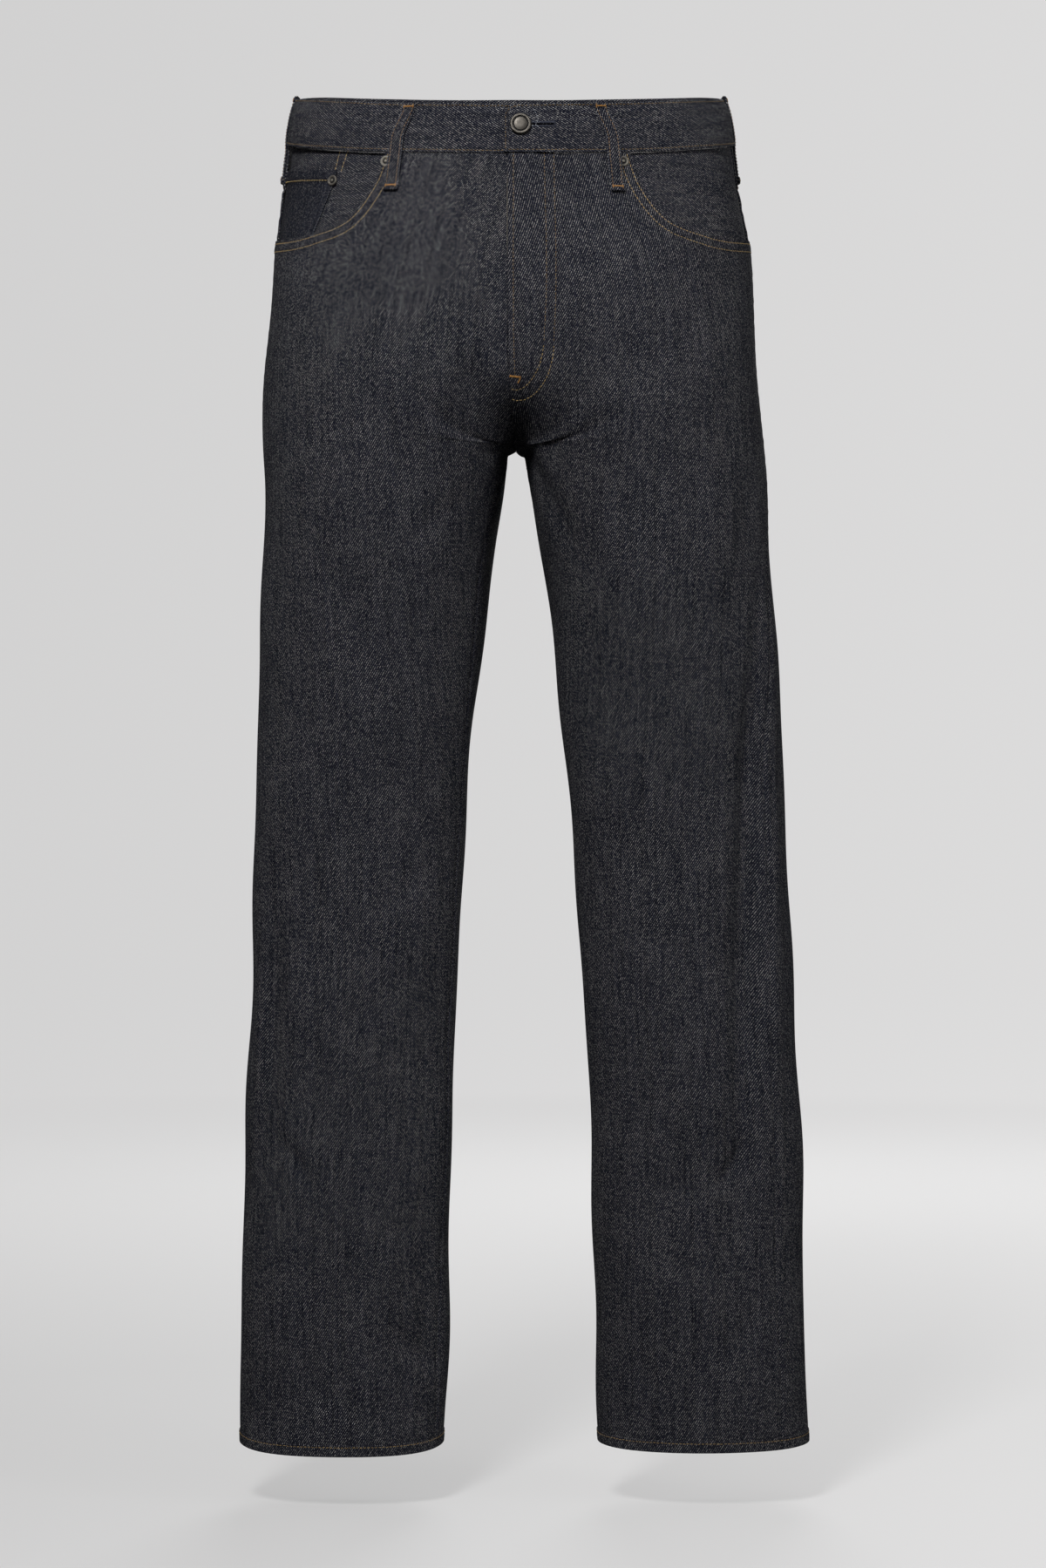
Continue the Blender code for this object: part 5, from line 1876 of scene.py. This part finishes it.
@dataclass
class Hardware:
    """The waist button and the rivets; their profiles are in tenths of a millimetre."""

    form: Form
    band: Waistband
    button: tuple = ((0, 0), (26, 0), (26, 36), (73, 38), (85, 45), (85, 52), (78, 62), (64, 62),
                     (60, 53), (55, 53), (51, 59), (30, 62), (0, 63))
    rivet: tuple = ((0, 0), (40, 0), (44, 4), (39, 11), (30, 11), (25, 4), (16, 4), (12, 12),
                    (0, 15))
    rivets: tuple = (("rivet_mouth_left", L, 0.0912, -0.0422, 0.0004),
                     ("rivet_mouth_right", R, 0.0958, -0.0422, 0.0004),
                     ("rivet_coin", R, 0.1402, -0.0537, -0.0015))

    def build(self) -> None:
        """All of them."""
        band = self.band
        foot = -band.lap_lift + band.wall / 2 + 0.0003
        metal = Nickel("button_nickel", (0.105, 0.096, 0.084), ((0.00575, 0.0006),)).build()
        Turned(self.form, "waist_button", L, band.button_across, band.button_z, foot, self.button,
               metal).build()
        metal = Nickel("rivet_nickel", (0.26, 0.24, 0.205), ((0.0018, 0.0009),)).build()
        for name, side, across, z, lift in self.rivets:
            Turned(self.form, name, side, across, z, lift, self.rivet, metal, 40).build()


# The jeans

@dataclass
class Finishes:
    """All the cloths' materials."""

    denim: Material = field(default_factory=Denim("raw_denim").build)
    reverse: Material = field(
        default_factory=Denim("raw_denim_reverse", reverse=True, speck=0.85).build)
    band: Material = field(default_factory=Denim("band_denim").build)
    # painted shade: the coin pocket's denim is a darker copy of the raw denim, with fewer specks
    # and a darker ground, for the shade that falls on that pocket
    coin: Material = field(
        default_factory=Denim("coin_denim", speck=0.46, ground=0.85).build)
    pocketing: Material = field(
        default_factory=Plain("pocketing", (0.6, 0.575, 0.52)).build)
    tape: Material = field(default_factory=Plain("zip_tape", (0.1, 0.09, 0.075)).build)


@dataclass
class Jeans:
    """The whole garment."""

    form: Form = field(default_factory=Form)
    cloth: float = 0.0012
    thin: float = 0.001
    threads: tuple = (
        ("thread_tan", (0.31, 0.207, 0.09), "thread_tan", 0.00033),
        ("thread_gold", (0.43, 0.298, 0.12), "thread_tan", 0.00033),
        ("thread_brown", (0.21, 0.138, 0.06), "thread_tan", 0.0003),
        ("thread_cream", (0.3, 0.19, 0.1), "thread_tan", 0.00028),
        ("thread_orange", (0.52, 0.25, 0.06), "thread_tan", 0.0003),
        ("thread_navy", (0.03, 0.034, 0.055), "thread_navy", 0.00026),
        ("thread_white", (0.55, 0.58, 0.64), "thread_white", 0.00026),
        ("worn_edge", (0.26, 0.28, 0.33), "thread_white", 0.0002, 0.0021, 0.0011),
    )
    sewings: tuple = (
        ("topstitch_mouths", "thread_gold"), ("topstitch_fly", "thread_brown"),
        ("topstitch_backs", "thread_tan"), ("topstitch_band", "thread_brown"),
        ("topstitch_hems", "thread_tan"), ("worn_folds", "worn_edge"),
        ("bar_tacks", "thread_orange"), ("loop_stitches", "thread_cream"),
        ("inseam_stitches", "thread_navy"), ("buttonhole_stitches", "thread_navy"),
        ("loose_threads", "thread_white"),
    )

    def build(self) -> None:
        """Cloth first, then metal, then all the sewing."""
        waist = Waist(self.form)
        pattern = Pattern(self.form, waist)
        finish = Finishes()
        denim = Weave(self.cloth, finish.denim, finish.reverse)
        thin = Weave(self.thin, finish.pocketing, finish.pocketing, 0.0001)
        threads = {name: Thread(Cotton(name, colour).build(), *rest)
                   for name, colour, *rest in self.threads}
        sewings = [Sewing(name, threads[thread]) for name, thread in self.sewings]
        mouths, fly, backs, belt, hems, folds, tacks, loops, dark, hole, ends = sewings

        turned = Weave(0.003, finish.denim, finish.reverse, 0.0009)
        for side in Side:
            depth = -0.0022 if side is L else -0.0038
            bag = Facing(pattern, side, thin, "pocketing", 0.078, -0.24, depth - 0.0028)
            for node, panel, rows in (
                    ("front", Front(pattern, side, denim), (mouths, fly, tacks, folds)),
                    ("back", Back(pattern, side, denim), (backs, dark)),
                    ("yoke", Yoke(pattern, side, denim), (backs,)),
                    ("hem", Hem(pattern, side, turned), (hems,)),
                    ("pocket_facing", Facing(pattern, side, denim, depth=depth), (mouths,)),
                    ("pocket_bag", bag, ()),
                    ("back_pocket", BackPocket(pattern, side, denim), (backs, tacks))):
                panel.build(node + "_" + side.label)
                if rows:
                    panel.sew(*rows)

        # the coin pocket's outer face is the darker coin denim: painted shade
        coin = CoinPocket(pattern, R, Weave(self.thin, finish.coin, finish.reverse), "coin_denim")
        coin.build("coin_pocket")
        coin.sew(mouths, dark, folds)
        band = Waistband(pattern, Weave(0.0024, finish.band, finish.band, 0.0006))
        band.build()
        band.sew(belt, hole, ends, folds)
        Fly(pattern, Weave(self.thin, finish.tape, finish.tape, 0.0001), denim).build()

        near = [self.form.share_across(side, across, -0.03)
                for side, across in ((L, 0.0824), (R, 0.0873))]
        strip = Weave(0.0016, finish.denim, finish.denim, 0.0003)
        for name, side, centre, lean, hug in (
                ("front_left", L, near[0], 0.008, 0.3), ("front_right", R, near[1], 0.008, 0.6),
                ("side_left", L, 0.52, 0.0, 1.0), ("side_right", R, 0.52, 0.0, 1.0),
                ("back", L, 1 - 0.0375 / waist.girth(L), 0.0, 0.5)):
            loop = BeltLoop(pattern, side, "belt_loop_" + name, centre, lean, strip, hug)
            loop.build()
            loop.sew(loops, tacks, folds)
        Hardware(self.form, band).build()
        for sewing in sewings:
            sewing.build()


# The studio

@dataclass
class Studio:
    """A pale seamless ground, soft lamps and the camera."""

    floor_z: float = -1.115
    camera_at: tuple[float, float, float] = (0.0085, -3.0, -0.5325)
    view_width: float = 0.8484
    ground: Colour = (0.28, 0.278, 0.278)
    # painted light on the ground: its glow rises from glow_near to glow_far away from the middle,
    # and by glow_slope towards +X
    glow: Colour = (1.0, 0.994, 0.994)
    glow_near: float = 0.445
    glow_far: float = 0.635
    glow_slope: float = 0.19
    sky_above: float = 0.15
    sky_below: float = 0.05
    floor_radius: float = 8.0
    bend: float = 5.0
    reach: float = 13.4
    grid: int = 131
    steepest: float = 0.985
    wall: float = 8.0
    wall_over: float = 0.4
    lamps: tuple = (
        ("lamp_key", (-0.6, -2.1, 1.3), (0.0, 0.0, -0.3), 0.6, 53.0),
        ("lamp_top", (0.0, -0.6, 2.6), (0.0, -0.1, -0.6), 2.4, 12.0),
        ("lamp_right", (3.0, -1.6, 0.1), (0.0, 0.0, -0.4), 1.2, 20.0),
        ("lamp_back", (0.3, 2.6, 0.9), (0.0, 0.0, -0.5), 1.6, 38.0),
    )

    def build(self) -> None:
        """All of it."""
        self.build_ground()
        for name, place, aim, size, power in self.lamps:
            data = bpy.data.lights.new(name, "AREA")
            data.shape, data.size, data.energy = "DISK", size, power
            turn = (Vector(aim) - Vector(place)).to_track_quat("-Z", "Y").to_euler()
            linked(name, data, location=place, rotation_euler=turn, visible_camera=False)
        self.build_sky()
        bpy.context.scene.view_settings.view_transform = "Standard"
        self.build_camera()

    def build_sky(self) -> None:
        """Even light, brighter from above than from below: a smooth step over the height."""
        net = Net("studio", bpy.data.worlds, "Background")
        height = net.split(net.place("Generated"))[2]
        strength = net.node("ShaderNodeMapRange", {"interpolation_type": "SMOOTHSTEP"}, {
            "Value": height, "From Min": -0.5, "From Max": 0.5, "To Min": self.sky_below,
            "To Max": self.sky_above}, "Result")
        bpy.context.scene.world = net.surface(Color=(1.0, 1.0, 1.0), Strength=strength)

    def build_ground(self) -> None:
        """A floor whose far edge curves up all round, a quarter circle and then a wall; it glows
        with painted light, brighter far from the middle and towards +X.
        """
        line = np.linspace(-self.reach, self.reach, self.grid)
        x, y = np.meshgrid(line, line)
        past = np.hypot(x, y) - self.floor_radius
        way = np.clip(past / self.bend, 0, self.steepest)
        wall = np.clip((past - self.bend) / self.wall_over, 0, 1) * self.wall
        z = self.floor_z + self.bend * (1 - np.sqrt(1 - way * way)) + wall
        mesh = bpy.data.meshes.new("ground")
        points = np.stack([x, y, z], axis=-1).reshape(-1, 3)
        mesh.from_pydata(points.tolist(), [], grid_faces(self.grid, self.grid).tolist())
        mesh.shade_smooth()
        net = Net("ground")
        x, y, _ = net.split(net.place())
        radius = (x * x + y * y).math("SQRT")
        # painted light: the ground glows, brighter far from the middle and towards +X
        rise = ((radius - 0.8) / 3.2).held() * (self.glow_far - self.glow_near)
        level = rise + self.glow_near + x * self.glow_slope / (radius + 1.0)
        mesh.materials.append(net.surface(
            Base_Color=self.ground, Roughness=0.9, Specular_IOR_Level=0.1,
            Emission_Color=net.scaled(self.glow, level), Emission_Strength=1.0))
        ground = linked("ground", mesh, visible_diffuse=False, visible_glossy=False)

    def build_camera(self) -> None:
        """A level camera at mid height."""
        data = bpy.data.cameras.new("camera")
        data.sensor_fit = "HORIZONTAL"
        data.lens = data.sensor_width * -self.camera_at[1] / self.view_width
        bpy.context.scene.camera = linked("camera", data, location=self.camera_at,
                                          rotation_euler=(math.pi / 2, 0.0, 0.0))


def main() -> None:
    """Builds the jeans and the studio."""
    logging.basicConfig(level=logging.INFO, format="%(message)s")
    Jeans().build()
    Studio().build()


if __name__ == "__main__":
    main()
